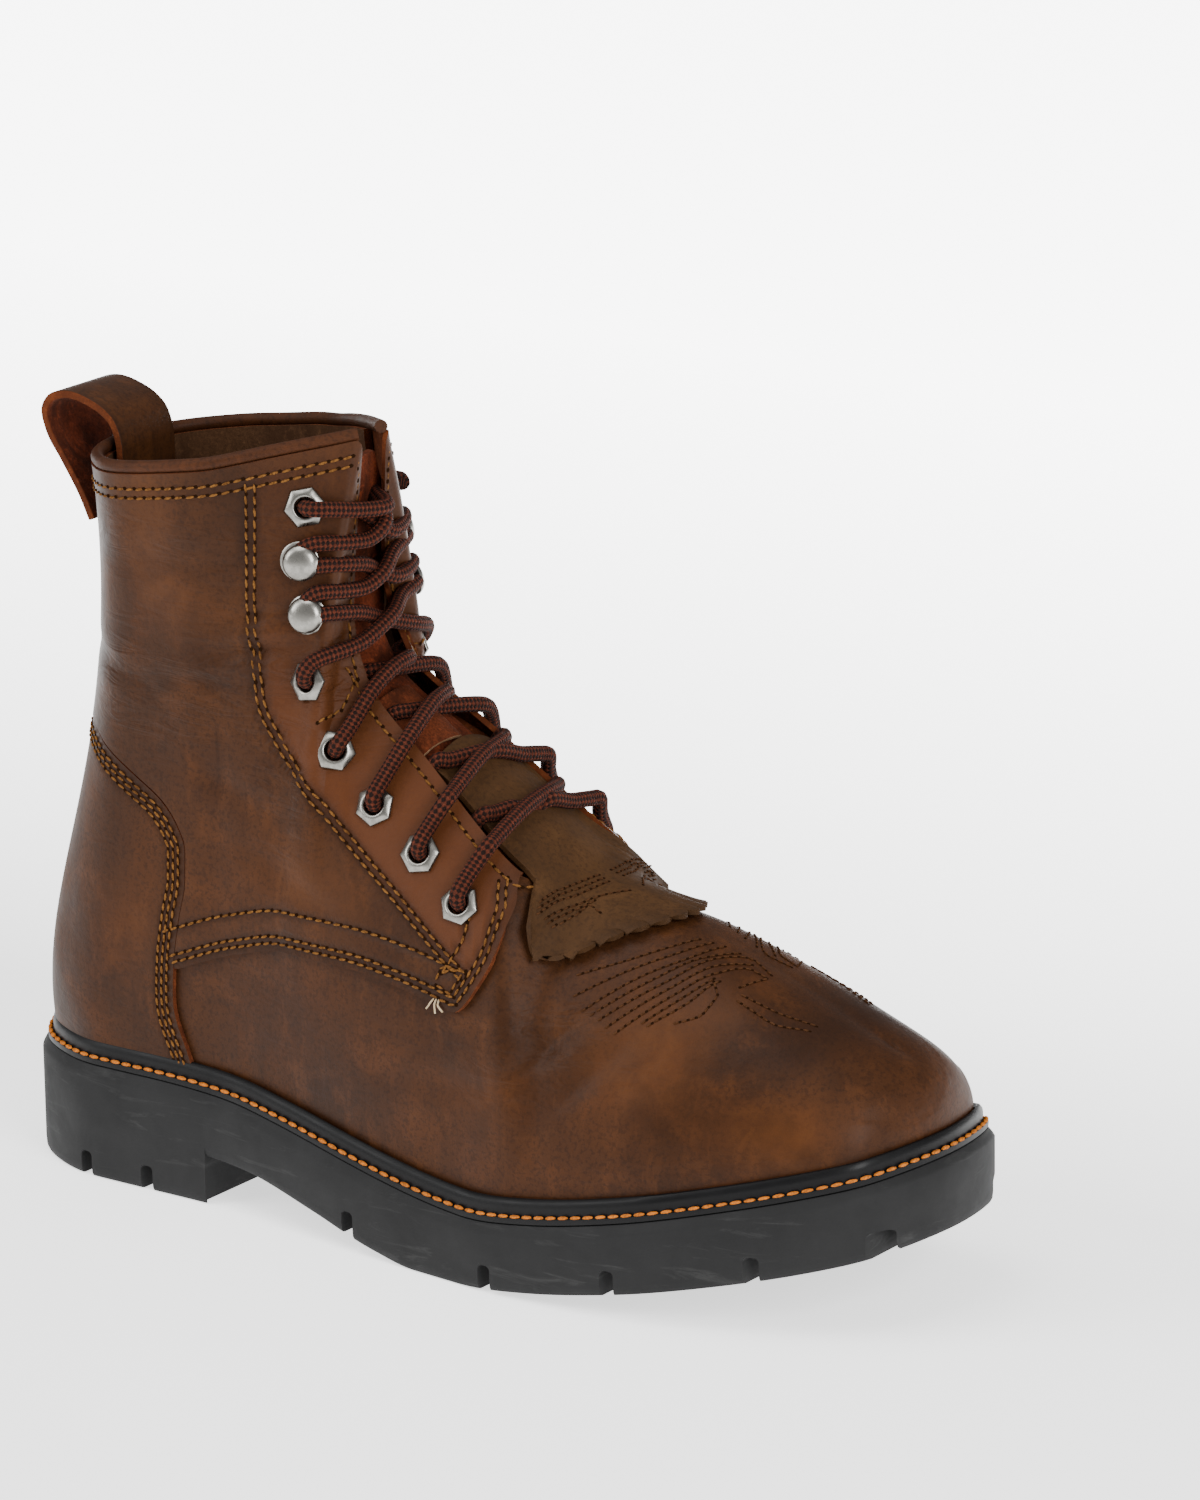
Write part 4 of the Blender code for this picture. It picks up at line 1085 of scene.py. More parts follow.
def build_piping():
    t = places_between(-AT["collar_front"], AT["collar_front"], 2.2)
    points = upper_points(t, np.ones_like(t))
    inward = unit(upper_points(t, np.full_like(t, 0.985)) - points)
    rolled = points - inward * PIPING_UP + outward(t) * PIPING_OUT
    rolled[:, 2] = np.maximum(rolled[:, 2], points[:, 2] + PIPING_LEAST_UP)
    bm = tube(rolled, PIPING_RADIUS, 14)
    finish("collar_roll", bm, ["piping"], ["collar_piping"])


# Tongue, kiltie and pull loop
TONGUE_FOLDS = np.array((0.0, 0.02, 0.05, 0.08))
TONGUE_START, TONGUE_END = 0.3, 0.999
TONGUE_FOOT_FOLD = 2.2
TONGUE_BULGE = 0.12
TONGUE_WALL = 2.0
TONGUE_ROWS, TONGUE_COLUMNS = 72, 36


def tongue_row(share):
    """Points across the tongue at a share of the way from the collar to the foot of the throat."""
    start = AT["collar_front"] + TONGUE_START * (AT["ankle"] - AT["collar_front"])
    t = start + (AT["throat_end"] - start) * share
    halves, facings = [], []
    for place_round in (t, ROUND - t):
        at = np.full(len(TONGUE_FOLDS), place_round)
        v = 1 - TONGUE_FOLDS * (1 + TONGUE_FOOT_FOLD * share**3)
        points = upper_points(at, v)
        along = upper_points(at + NUDGE, v) - upper_points(at - NUDGE, v)
        normal = unit(np.cross(along, points - upper_points(at, v - NUDGE_DOWN)))
        halves.append(points - normal * TONGUE_DEPTH)
        facings.append(normal[0])
    left, right = halves
    width = np.linalg.norm(right[0] - left[0])
    middle = (left[0] + right[0]) / 2 + unit(sum(facings)) * width * TONGUE_BULGE
    return np.concatenate([left[::-1], [middle], right])


@functools.lru_cache(None)
def tongue_points():
    """Points of the tongue's outer face, down the throat and across it."""
    shares = np.linspace(0, TONGUE_END, TONGUE_ROWS + 1)
    return np.array([smooth_path(tongue_row(share), TONGUE_COLUMNS + 1) for share in shares])


def tongue_sheet():
    bm = sheet(tongue_points())
    bmesh.ops.reverse_faces(bm, faces=bm.faces)
    bm.normal_update()
    return bm


def build_tongue():
    finish("tongue_suede", tongue_sheet(), ["suede"] * 3, ["tongue"], TONGUE_WALL, 0.4)


KEEPER_HEIGHTS = (140.0, 152.0)
KEEPER_SHARES = (0.18, 0.53)
KEEPER_LIFT = 0.2
KEEPER_ARCH = 2.6
KEEPER_WALL = 1.4


def keeper_points(along, across):
    """Points of the lace keeper, a low bridge of suede over the tongue."""
    grid = tongue_points()
    heights = grid[:, TONGUE_COLUMNS // 2, 2]
    high, low = (np.interp(-z, -heights, np.arange(TONGUE_ROWS + 1)) for z in KEEPER_HEIGHTS[::-1])
    row = high + (low - high) * along
    start, end = KEEPER_SHARES
    side = TONGUE_COLUMNS * (start + (end - start) * across)
    i = np.clip(side.astype(int), 0, TONGUE_COLUMNS - 1)
    j = np.clip(row.astype(int), 0, TONGUE_ROWS - 1)
    a, b = (side - i)[:, None], (row - j)[:, None]
    points = (grid[j, i] * (1 - a) + grid[j, i + 1] * a) * (1 - b)
    points = points + (grid[j + 1, i] * (1 - a) + grid[j + 1, i + 1] * a) * b
    out = unit(np.cross(grid[j + 1, i] - grid[j, i], grid[j, i + 1] - grid[j, i]))
    waves = 0.75 + 0.25 * np.cos(6 * along + 3 * across)
    rise = KEEPER_LIFT + KEEPER_ARCH * np.sin(math.pi * across) ** 0.6 * waves
    return points + out * rise[:, None]


def build_keeper():
    bm, across, along = new_grid(26, 12)
    place(bm, keeper_points(along, across))
    if normals(bm).mean(0) @ (1, 0, 1) < 0:
        bmesh.ops.reverse_faces(bm, faces=bm.faces)
    finish("lace_keeper", bm, ["keeper suede", "suede", "pale edge"], (), KEEPER_WALL, 0.2, 1)


def height_over(skins, x, y):
    """The highest that the skins come at x and y, seen from above, or 0 where there are none."""
    hits = [skin.ray_cast(Vector((x, y, FAR_ABOVE)), Vector((0, 0, -1)))[0] for skin in skins]
    return max([hit.z for hit in hits if hit], default=0.0)


KILTIE_WALL = 1.5
KILTIE_WING = 0.5
KILTIE_NOTCH = 2.3
KILTIE_START, KILTIE_CLEAR = 0.7, 0.4
KILTIE_REACH = ((0, 0), (-3, 0), (3, 0), (0, -2), (0, 2))
KILTIE_TURNS = 30
KILTIE_LIFT_EVERY = 6


def kiltie_front(w):
    """X of the kiltie's front edge, without its lobes, at a share of its half width."""
    return KILTIE_FRONT - KILTIE_ROUND * np.abs(w) ** KILTIE_ROUND_POWER


def kiltie_plan(along, across):
    """Plan of the kiltie: shares from its top to its lobed front edge and across it."""
    w = 2 * across - 1
    xs, halves = np.array(KILTIE_PLAN).T
    on_wing = along < KILTIE_WING
    back_x = np.interp(along / KILTIE_WING, (0, 0.8, 1), (xs[0], xs[-2], xs[-1]))
    half = np.where(on_wing, np.interp(back_x, xs, halves), halves[-1])
    share = np.clip((along - KILTIE_WING) / (1 - KILTIE_WING), 0, 1)
    x = np.where(on_wing, back_x, xs[-1] + (kiltie_front(w) - xs[-1]) * share)
    slope = -KILTIE_ROUND * KILTIE_ROUND_POWER * np.sign(w) * np.abs(w) ** (KILTIE_ROUND_POWER - 1)
    lean = unit(np.stack([np.full_like(w, halves[-1]), -slope], -1))
    notch = KILTIE_NOTCH * (1 - np.abs(np.sin(math.pi * KILTIE_LOBES * across))) * share**4
    return x - lean[:, 0] * notch, ridge_y(x) + w * half - lean[:, 1] * notch


@functools.lru_cache(None)
def under_kiltie():
    return [upper_skin(), BVHTree.FromBMesh(tongue_sheet())]


def kiltie_sheet():
    """The kiltie's under face, draped over the vamp and the foot of the tongue."""
    bm, across, along = new_grid(KILTIE_LOBES * 6, 40)
    x, y = kiltie_plan(along, across)
    skins = under_kiltie()
    floor = [max(height_over(skins, a + dx, b + dy) for dx, dy in KILTIE_REACH) for a, b in zip(x, y)]
    floor = np.array(floor)
    place(bm, np.stack([x, y, floor + KILTIE_START], 1))
    for turn in range(KILTIE_TURNS):
        bmesh.ops.smooth_vert(bm, verts=bm.verts, factor=0.5, use_axis_z=True)
        if turn % KILTIE_LIFT_EVERY == 0:
            points = coords(bm)
            points[:, 2] = np.maximum(points[:, 2], floor + KILTIE_CLEAR)
            place(bm, points)
    bmesh.ops.recalc_face_normals(bm, faces=bm.faces)
    face_up(bm)
    return bm


@functools.lru_cache(None)
def kiltie_skin():
    bm = kiltie_sheet()
    place(bm, coords(bm) + normals(bm) * KILTIE_WALL)
    return BVHTree.FromBMesh(bm)


def build_kiltie():
    bm = kiltie_sheet()
    x, y, z = coords(bm).T
    mark_leather(bm, kiltie_front((y - ridge_y(x)) / KILTIE_PLAN[-1][1]) - x, 8)
    looks = ["kiltie", "lining", "kiltie"]
    finish("kiltie_flap", bm, looks, ["kiltie"], KILTIE_WALL, 0.3, 1)


PULL_LOOP_HALF = 12.0
PULL_LOOP_WALL = 2.4
PULL_LOOP_STEPS, PULL_LOOP_ROWS = 70, 11


def build_pull_loop():
    path = smooth_path([(x, 0, z) for x, z in PULL_LOOP], PULL_LOOP_STEPS)
    points = np.repeat(path[None], PULL_LOOP_ROWS, 0)
    points[..., 1] += PULL_LOOP_HALF * np.linspace(-1, 1, PULL_LOOP_ROWS)[:, None]
    bm = sheet(points)
    mark_leather(bm, PULL_LOOP_HALF - np.abs(coords(bm)[:, 1]), 3)
    looks = ["leather", "suede", "raw edge"]
    finish("pull_loop_strap", bm, looks, ["pull_loop"], PULL_LOOP_WALL, 0.4, 0)


# Sole
def sole_grid(rings, t):
    """A closed band round the sole: each ring is an inset and a height function of x."""
    return sheet(np.array([edge_points(t, np.full_like(t, inset), height) for inset, height in rings]))


def cap_grid(t, inset, height, across_count):
    """A sheet across the sole, from each lateral place to the medial one across from it."""
    left, right = (edge_points(at, np.full_like(t, inset), height) for at in (t, ROUND - t))
    share = np.linspace(0, 1, across_count + 1)[:, None, None]
    return sheet(left * (1 - share) + right * share)


SOLE_STEP = 2.4
SOLE_MERGE = 0.02
BREAST_HALF, BREAST_CLEAR = 0.06, 0.3


def breast_places():
    """Places round the loop, doubled where the heel's front face stands."""
    half = places_between(0.0, ROUND / 2, SOLE_STEP)
    at = AT["breast"]
    pair = [at - BREAST_HALF, at + BREAST_HALF]
    half = np.concatenate([half[half < at - BREAST_CLEAR], pair, half[half > at + BREAST_CLEAR]])
    return half, np.concatenate([half, (ROUND - half)[-2::-1]])


GROOVE_SIZE = (4.3, 140, 17)
GROOVE_ROUND = 1.4
GROOVE_DROP = 1.0
SOLE_SHARP_ANGLE = math.radians(35)
SOLE_FLOOR_INSET, SOLE_LID_INSET = 1.6, 2.6


def groove_cutter(bottom):
    """An object with the bars that cut the lug grooves, each with rounded edges."""
    bars = []
    for x in LUG_GROOVES:
        bar = bmesh.new()
        bmesh.ops.create_cube(bar, size=1)
        bmesh.ops.scale(bar, vec=GROOVE_SIZE, verts=bar.verts)
        across = [edge for edge in bar.edges if abs(edge.verts[0].co.y - edge.verts[1].co.y) > 1]
        bmesh.ops.bevel(bar, geom=across, offset=GROOVE_ROUND, offset_type="OFFSET", affect="EDGES",
                        segments=3, profile=0.5, material=-1)
        low = float(bottom(np.array(float(x))))
        bmesh.ops.translate(bar, vec=(x, 0, low - GROOVE_DROP), verts=bar.verts)
        bars.append(bar)
    cutter = join(bars)
    place(cutter, (coords(cutter) + SHIFT) * MM)
    return new_object("groove_cutter", cutter)


def build_outsole():
    half, whole = breast_places()
    breast_x = float(outline_x(np.array(AT["breast"])))

    def bottom(x):
        return np.where(x > breast_x, np.where(x > SPRING_START, spring(x), waist_rise(x)), 0)

    rings = [
        (SOLE_FLOOR_INSET, bottom),
        (0.6, lambda x: bottom(x) + 0.3),
        (0.15, lambda x: bottom(x) + 1.2),
        (0.0, lambda x: bottom(x) + 3.0),
        (0.0, lambda x: (bottom(x) + sole_top(x)) / 2),
        (0.0, lambda x: sole_top(x) - 3.2),
        (0.5, lambda x: sole_top(x) - 2.2),
        (1.9, lambda x: sole_top(x) - 0.15),
        (SOLE_LID_INSET, sole_top),
    ]
    lid = cap_grid(half, SOLE_LID_INSET, sole_top, 6)
    floor = cap_grid(half, SOLE_FLOOR_INSET, bottom, 14)
    bm = join([sole_grid(rings, whole), lid, floor])
    merge(bm, SOLE_MERGE)
    sole = finish("rubber_sole", bm, ["rubber"], ["outsole"])
    cutter = groove_cutter(bottom)
    cut = sole.modifiers.new("grooves", "BOOLEAN")
    cut.operation = "DIFFERENCE"
    cut.solver = "EXACT"
    cut.object = cutter
    apply_modifiers(sole)
    bpy.data.objects.remove(cutter)
    sole.data.shade_smooth()
    sole.data.set_sharp_from_angle(angle=SOLE_SHARP_ANGLE)


def apply_modifiers(obj):
    """Turns what an object's modifiers make into its own mesh."""
    graph = bpy.context.evaluated_depsgraph_get()
    made = bpy.data.meshes.new_from_object(obj.evaluated_get(graph))
    obj.modifiers.clear()
    obj.data = made


WELT_STEP = 2.2


def build_welt():
    rings = [(inset, lambda x, up=up: sole_top(x) + up) for inset, up in WELT_PROFILE]
    bm = sole_grid(rings + rings[:1], places_between(0.0, ROUND, WELT_STEP))
    merge(bm, FINE_MERGE)
    finish("storm_welt", bm, ["welt"], ["welt"])


INSOLE_INSET = 10.0
INSOLE_RISE = 4.3
INSOLE_WALL = 3.9


def build_insole():
    half = places_between(0.0, ROUND / 2, 5.0)
    bm = cap_grid(half, INSOLE_INSET, lambda x: sole_top(x) + INSOLE_RISE, 12)
    merge(bm, FINE_MERGE)
    face_up(bm)
    finish("insole_board", bm, ["lining"], ["insole"], INSOLE_WALL, 0.5)


# Half section of a lace hook, from its base disc up the neck to the domed cap: radius and height
HOOK_PROFILE = ((0, 0), (5.2, 0), (5.6, 0.25), (5.6, 0.6), (5.1, 0.95), (2.4, 1.1), (1.7, 1.6), (1.6, 4.2),
                (2.6, 4.4), (4.7, 4.4), (5.2, 4.7), (5.15, 5.2), (4.5, 6.1), (3.3, 6.7), (1.7, 7.0),
                (0, 7.1))
HOOK_LEAN = 1.3
HOOK_LEAN_FROM, HOOK_LEAN_REACH = 1.2, 3.0
FITTING_LIFT = 0.05
FITTING_TURN = 0.35
EYELET_HOLE, EYELET_FLAT = 2.8, 5.25


def eyelet_ring():
    """Hexagonal eyelet with a rounded lip round its hole, standing on Z 0."""
    hole, flat = EYELET_HOLE, EYELET_FLAT
    profile = ((hole, 0), (flat - 0.1, 0), (flat, 0.15), (flat, 0.75), (flat - 0.3, 1.1), (hole + 1.5, 1.5),
               (hole + 1.0, 1.75), (hole + 0.45, 1.75), (hole + 0.1, 1.45), (hole, 1.0))
    bm = turned(profile, 36)
    for vert in bm.verts:
        radius = vert.co.xy.length
        angle = math.atan2(vert.co.y, vert.co.x)
        corner = (angle + math.pi / 6) % (math.pi / 3) - math.pi / 6
        share = min(max((radius - hole - 1.6) / (flat - hole - 1.9), 0), 1)
        vert.co.xy *= 1 + share * (1 / math.cos(corner) - 1)
    return bm


def build_fittings():
    for side, name in SIDE_NAMES.items():
        for number, ((kind, x, z), (seat, normal)) in enumerate(zip(LACE_ROWS, seats(side)), 1):
            bm = eyelet_ring() if kind == "eyelet" else turned(HOOK_PROFILE, 28)
            stand_on(bm, seat + normal * FITTING_LIFT, normal, FITTING_TURN * number)
            if kind == "hook":
                toward = unit(throat_edge(seat, side)[0] - seat)
                points = coords(bm)
                share = np.clip(((points - seat) @ normal - HOOK_LEAN_FROM) / HOOK_LEAN_REACH, 0, 1)
                place(bm, points + share[:, None] * toward * HOOK_LEAN)
            fitting = f"{kind}_{name}_{number}"
            finish(fitting + "_nickel", bm, ["nickel"], [fitting])


def throat_edge(point, side):
    """Point and normal of the throat's edge that is nearest to a place on the quarter."""
    t = np.linspace(AT["collar_front"], AT["throat_end"] - 1, 220)
    if side == MEDIAL:
        t = ROUND - t
    edge = upper_points(t, np.ones_like(t))
    k = int(np.argmin(np.linalg.norm(edge - point, axis=1)))
    at = t[k:k + 1]
    below = upper_points(at, np.full(1, 1 - NUDGE_DOWN))
    along = upper_points(at + NUDGE, np.ones(1)) - upper_points(at - NUDGE, np.ones(1))
    return edge[k], unit(np.cross(along, edge[k] - below))[0]


LACE_CLEAR = 0.25
LACE_LEAVES, LACE_ARRIVES = 0.38, 0.95
LACE_CROSSING = 1.9
LACE_BULGE = 0.8


def lace_passes(rise):
    """Places of a lace at each kind of fitting: out of the leather, towards the throat and up the facing."""
    return {
        "eyelet": ((-4.2, 0, 0), (0.6, 0, 0), (rise + 1.4, 1.6, 0), (rise + 0.5, 6.2, 0)),
        "hook": ((2.9, 5.5, -3.0), (2.9, 0, -2.7), (2.9, -1.7, 0), (2.9, 0, 2.7), (2.9, 5.5, 3.2)),
    }


def lace_arrivals(over):
    """Places of a lace at the far facing's edge: out of the leather, and on towards what it goes to."""
    return {
        "eyelet": ((-0.4, -2.0), (-4.0, 3.0)),
        "hook": ((over, 0.0),),
        "end": ((-0.5, 0.0), (-4.0, 4.0)),
    }


def lace_route(side):
    """Points of one lace: up from its lowest eyelet, crossing at each row, to the top row's eyelets."""
    rise = size_of("lace_diameter") / 2 + LACE_CLEAR
    over = QUARTER_LIFT + rise
    top = len(LACE_ROWS) - 1
    route = []
    for number, (kind, x, z) in enumerate(LACE_ROWS):
        own_seats, far_seats = ([point for point, normal in seats(near)] for near in (side, -side))
        seat, normal = seats(side)[number]
        ahead, behind = min(number + 1, top), max(number - 1, 0)
        goal = far_seats[ahead]
        own, own_normal = throat_edge(seat * (1 - LACE_LEAVES) + own_seats[ahead] * LACE_LEAVES, side)
        toward = unit(own - seat - normal * ((own - seat) @ normal))
        up = unit(own_seats[ahead] - own_seats[behind])
        up = unit(up - normal * (up @ normal))
        route += [seat + normal * a + toward * b + up * c for a, b, c in lace_passes(rise)[kind]]
        if number == top and side == MEDIAL:
            break
        far, far_normal = throat_edge(goal * LACE_ARRIVES + far_seats[number] * (1 - LACE_ARRIVES), -side)
        forward = unit(own_normal + far_normal)
        crossing = LACE_CROSSING if side == LATERAL else -LACE_CROSSING
        middle = (own + far) / 2 + forward * (over + LACE_BULGE + crossing)
        route += [own + own_normal * over + toward, middle]
        inside = unit(goal - far)
        meets = "end" if number == top else LACE_ROWS[ahead][0]
        route += [far + far_normal * a + inside * b for a, b in lace_arrivals(over)[meets]]
        side = -side
    return np.array(route)


SETTLE_REACH = 9.0
SETTLE_DEPTH = -1.5


def settle(points, skin, rise):
    """Points lifted off a skin that they would sink into."""
    found = []
    for point in points:
        hit, normal = skin.find_nearest(Vector(point), SETTLE_REACH)[:2]
        depth = (Vector(point) - hit).dot(normal) if hit else rise
        if SETTLE_DEPTH < depth < rise:
            point = point + np.array(normal) * (rise - depth)
        found.append(point)
    return np.array(found)


# Each lace's name, the side where it starts, and the rows of the CAD crossings that it stands for
LACES = (("lace_long", LATERAL, (1, 3, 5, 7)), ("lace_crossing", MEDIAL, (2, 4, 6)))


def build_laces():
    radius = size_of("lace_diameter") / 2
    for name, side, numbers in LACES:
        route = settle(smooth_path(lace_route(side), 420), kiltie_skin(), radius)
        for turn in range(3):
            route[1:-1] = route[1:-1] * 0.5 + (route[:-2] + route[2:]) * 0.25
        bm = tube(route, radius, 12)
        finish(name, bm, ["lace"], [f"lace_{number}" for number in numbers])


# Stitching: kinds of rows, with how much shorter than the boot's pitch they are, gap, width and slant
Seam = namedtuple("Seam", "shorter gap width slant")
SEAMS = {
    "facing": Seam(0.0, 0.7, 0.8, 0.12),
    "quarter": Seam(0.1, 0.7, 0.8, 0.12),
    "counter": Seam(0.2, 0.7, 0.8, 0.12),
    "dart": Seam(0.6, 0.6, 0.75, 0.12),
    "tab": Seam(0.4, 0.7, 0.75, 0.12),
    "ornament": Seam(1.1, 0.6, 0.62, 0.0),
}
NEEDLE_HOLE_FLAT = 0.14
ROW_NUDGE = 0.4


def row_points(line, pitch):
    """Points at a pitch along a line, with the direction of the line at each."""
    line = np.array(line, float)
    knots = line_knots(line)
    count = max(int(knots[-1] / pitch), 1)
    places = (np.arange(count) + 0.5) * knots[-1] / count
    behind, points, ahead = (np.stack([np.interp(places + step, knots, axis) for axis in line.T], 1)
                             for step in (-ROW_NUDGE, 0.0, ROW_NUDGE))
    return points, unit(ahead - behind)


PAST_MIDDLE = 2.0


def side_row(skin, line, side):
    """Points of a row on the leather, from a line in the side view."""
    found = []
    for x, z in line:
        hit = skin.ray_cast(Vector((x, side * FAR_ASIDE, z)), Vector((0, -side, 0)))[0]
        if hit is not None and hit.y * side > -PAST_MIDDLE:
            found.append(np.array(hit))
    return found


def bead(bm, where, size, segments, rings):
    """A small egg shape of the given half sizes, and its vertices."""
    steps = {"u_segments": segments, "v_segments": rings, "radius": 1.0}
    matrix = where @ Matrix.Diagonal((*size, 1))
    return bmesh.ops.create_uvsphere(bm, matrix=matrix, **steps)["verts"]


def sewn_row(line, skin, seam):
    """A row of stitches along a line on a skin, with a needle hole between each and the next."""
    pitch = size_of("stitch_pitch") - seam.shorter
    width = seam.width
    bm = bmesh.new()
    for point, along in zip(*row_points(line, pitch)):
        hit, normal = skin.find_nearest(Vector(point))[:2]
        normal = normal if normal.dot(outside_of(hit)) > 0 else -normal
        along = Vector(along) - normal * normal.dot(Vector(along))
        along = (Matrix.Rotation(seam.slant, 3, normal) @ along).normalized()
        turn = Matrix((normal, normal.cross(along), along)).transposed().to_4x4()
        stitch = Matrix.Translation(hit + normal * (width * 0.3)) @ turn
        bead(bm, stitch, (width * 0.45, width / 2, (pitch - seam.gap) / 2), 6, 4)
        # A flat dark bead: painted shade of the needle hole
        hole = Matrix.Translation(hit + along * (pitch / 2)) @ turn
        for vert in bead(bm, hole, (NEEDLE_HOLE_FLAT, width * 0.75, width * 0.95), 6, 3):
            for face in vert.link_faces:
                face.material_index = 1
    return bm


# The middle line inside the boot, which outward directions start from
INSIDE_BACK, INSIDE_FRONT = 45.0, 250.0
INSIDE_HEIGHT = 45.0
VAMP_FROM = 150.0


def outside_of(point):
    """Rough direction out of the boot at a point."""
    middle = min(max(point.x, INSIDE_BACK), INSIDE_FRONT)
    return Vector((point.x - middle, point.y, point.z - INSIDE_HEIGHT if point.x > VAMP_FROM else 0))


def edge_row(t, distance):
    return upper_points(t, down_from_top(t, np.full_like(t, distance)))


DART_ROW = ((119.7, 161.5), (122.2, 156), (121.8, 151), (118.7, 147.6))
TAB_ROW = ((168.5, 84.0), (170.5, 88.0), (178.0, 88.2), (174.0, 81.5), (169.0, 83.2))
TUFTS = (((169.5, 79.5), (170.0, 77.5), (170.2, 75.4)), ((170.4, 79.5), (171.4, 77.6), (172.8, 76.2)),
         ((168.8, 79.5), (168.2, 77.6), (166.9, 76.2)))
TUFT_LIFTS = (-0.4, 1.0, 0.5)
TUFT_RADIUS = 0.28


def build_loose_threads():
    ends = []
    for line in TUFTS:
        points = [on_side(quarter_skin(LATERAL), x, z, LATERAL) for x, z in line]
        path = [point + normal * lift for (point, normal), lift in zip(points, TUFT_LIFTS)]
        ends.append(tube(smooth_path(path, 14), TUFT_RADIUS, 6))
    finish("loose_threads", join(ends), ["pale thread"])


# Stitch rows below the throat's edge and the collar's
THROAT_ROW = 4.2
COLLAR_ROWS = (4.5, 7.3)
COLLAR_ROW_START = 2.0
ROW_GAP = 1.5
THROAT_ROW_END = 6.0
EDGE_STEPS = 120


def build_panel_stitches():
    counter_skin = BVHTree.FromBMesh(counter_sheet(SKIN_STEP, 60))
    rows = []
    for side in (LATERAL, MEDIAL):
        skin = quarter_skin(side)
        lines = [("facing", skin, beside(FACING_LINE, gap)) for gap in FACING_ROWS]
        lines += [("quarter", skin, beside(QUARTER_EDGE, gap)) for gap in QUARTER_ROWS]
        lines += [("counter", counter_skin, beside(counter_line(0), gap)) for gap in COUNTER_ROWS]
        lines += [("dart", skin, smooth_path(DART_ROW, 30)), ("tab", skin, TAB_ROW)]
        rows += [sewn_row(side_row(under, line, side), under, SEAMS[seam]) for seam, under, line in lines]
        corner = AT["collar_front"]
        throat = np.linspace(corner + ROW_GAP, AT["throat_end"] - THROAT_ROW_END, EDGE_STEPS)
        collar = np.linspace(COLLAR_ROW_START, corner - ROW_GAP, EDGE_STEPS)
        if side == MEDIAL:
            throat, collar = ROUND - throat, ROUND - collar
        edges = [(throat, THROAT_ROW)] + [(collar, drop) for drop in COLLAR_ROWS]
        rows += [sewn_row(edge_row(t, drop), skin, SEAMS["facing"]) for t, drop in edges]
    finish("panel_stitches", join(rows), ["tan thread", "needle hole"])


# Ornament rows of one half of the vamp and of the kiltie
VAMP_ROWS = (
    ((205.5, -25.7, 87.9), (218.8, -17.9, 92.8), (226.1, -11.4, 95.5), (232.0, -3.0, 96.9)),
    ((211.0, -31.5, 80.0), (225.2, -19.8, 90.1), (232.9, -11.6, 93.6), (238.4, -0.1, 95.0)),
    ((217.0, -32.0, 78.6), (231.6, -19.4, 88.9), (240.2, -5.1, 93.4), (246.8, 2.2, 91.5),
     (253.1, 1.1, 89.0)),
    ((223.0, -33.0, 75.8), (235.8, -20.6, 86.4), (242.3, -10.6, 90.9), (248.3, -2.4, 90.9),
     (253.4, -1.3, 88.9), (250.1, -9.8, 88.1)),
    ((231.8, -29.4, 78.6), (240.6, -20.2, 85.0), (243.6, -13.6, 88.8), (244.8, -11.8, 89.5)),
    ((238.9, -26.4, 79.9), (245.5, -21.3, 82.9), (246.5, -16.2, 86.4), (243.4, -12.7, 89.2)),
    ((207.0, -29.5, 83.0), (222.0, -18.9, 91.5), (229.6, -11.5, 94.6), (235.3, -1.6, 96.0)),
    ((214.0, -31.8, 79.4), (228.4, -19.6, 89.5), (236.5, -8.4, 93.6), (242.6, 1.0, 93.4)),
    ((220.0, -32.5, 77.0), (233.7, -20.0, 87.7), (241.3, -7.9, 92.2), (247.5, -0.1, 91.4)),
    ((230.0, -29.2, 79.0), (238.2, -20.4, 85.7), (243.0, -12.0, 90.0)),
    ((251.2, -11.5, 86.7), (261.6, -9.5, 82.9), (272.1, -4.9, 79.2)),
    ((251.0, -13.6, 85.8), (262.4, -13.2, 81.2), (272.0, -7.8, 78.8)),
)
KILTIE_ROWS = (
    ((190.6, -23.8, 104.4), (194.5, -16.9, 109.4), (196.5, -0.8, 109.8)),
    ((192.1, -25.7, 104.2), (195.6, -17.3, 108.2), (198.2, -1.0, 109.0)),
    ((196.8, -25.7, 101.5), (199.5, -18.1, 104.4), (201.9, -10.7, 106.1)),
    ((193.6, -27.6, 104.0), (196.7, -17.7, 107.0), (200.0, -1.3, 108.3)),
    ((195.7, -26.0, 102.5), (198.6, -18.0, 105.3), (202.1, -8.6, 107.0), (206.8, -0.7, 107.2)),
    ((197.8, -25.4, 100.6), (200.4, -18.2, 103.4), (201.7, -12.9, 105.2), (205.5, -13.3, 103.8)),
)


def build_ornament_stitches():
    rows = []
    for lines, skin in ((VAMP_ROWS, upper_skin()), (KILTIE_ROWS, kiltie_skin())):
        for line in lines:
            near = smooth_path(line, 40)
            far = near.copy()
            far[:, 1] = 2 * ridge_y(near[:, 0]) - near[:, 1]
            rows += [sewn_row(half, skin, SEAMS["ornament"]) for half in (near, far)]
    finish("ornament_stitches", join(rows), ["dark thread", "needle hole"])


WELT_STITCH_INSET, WELT_STITCH_RISE = 2.4, 2.2
WELT_STITCH_PITCH = 4.1
WELT_STITCH_SIZE = (0.62, 0.72, 1.75)


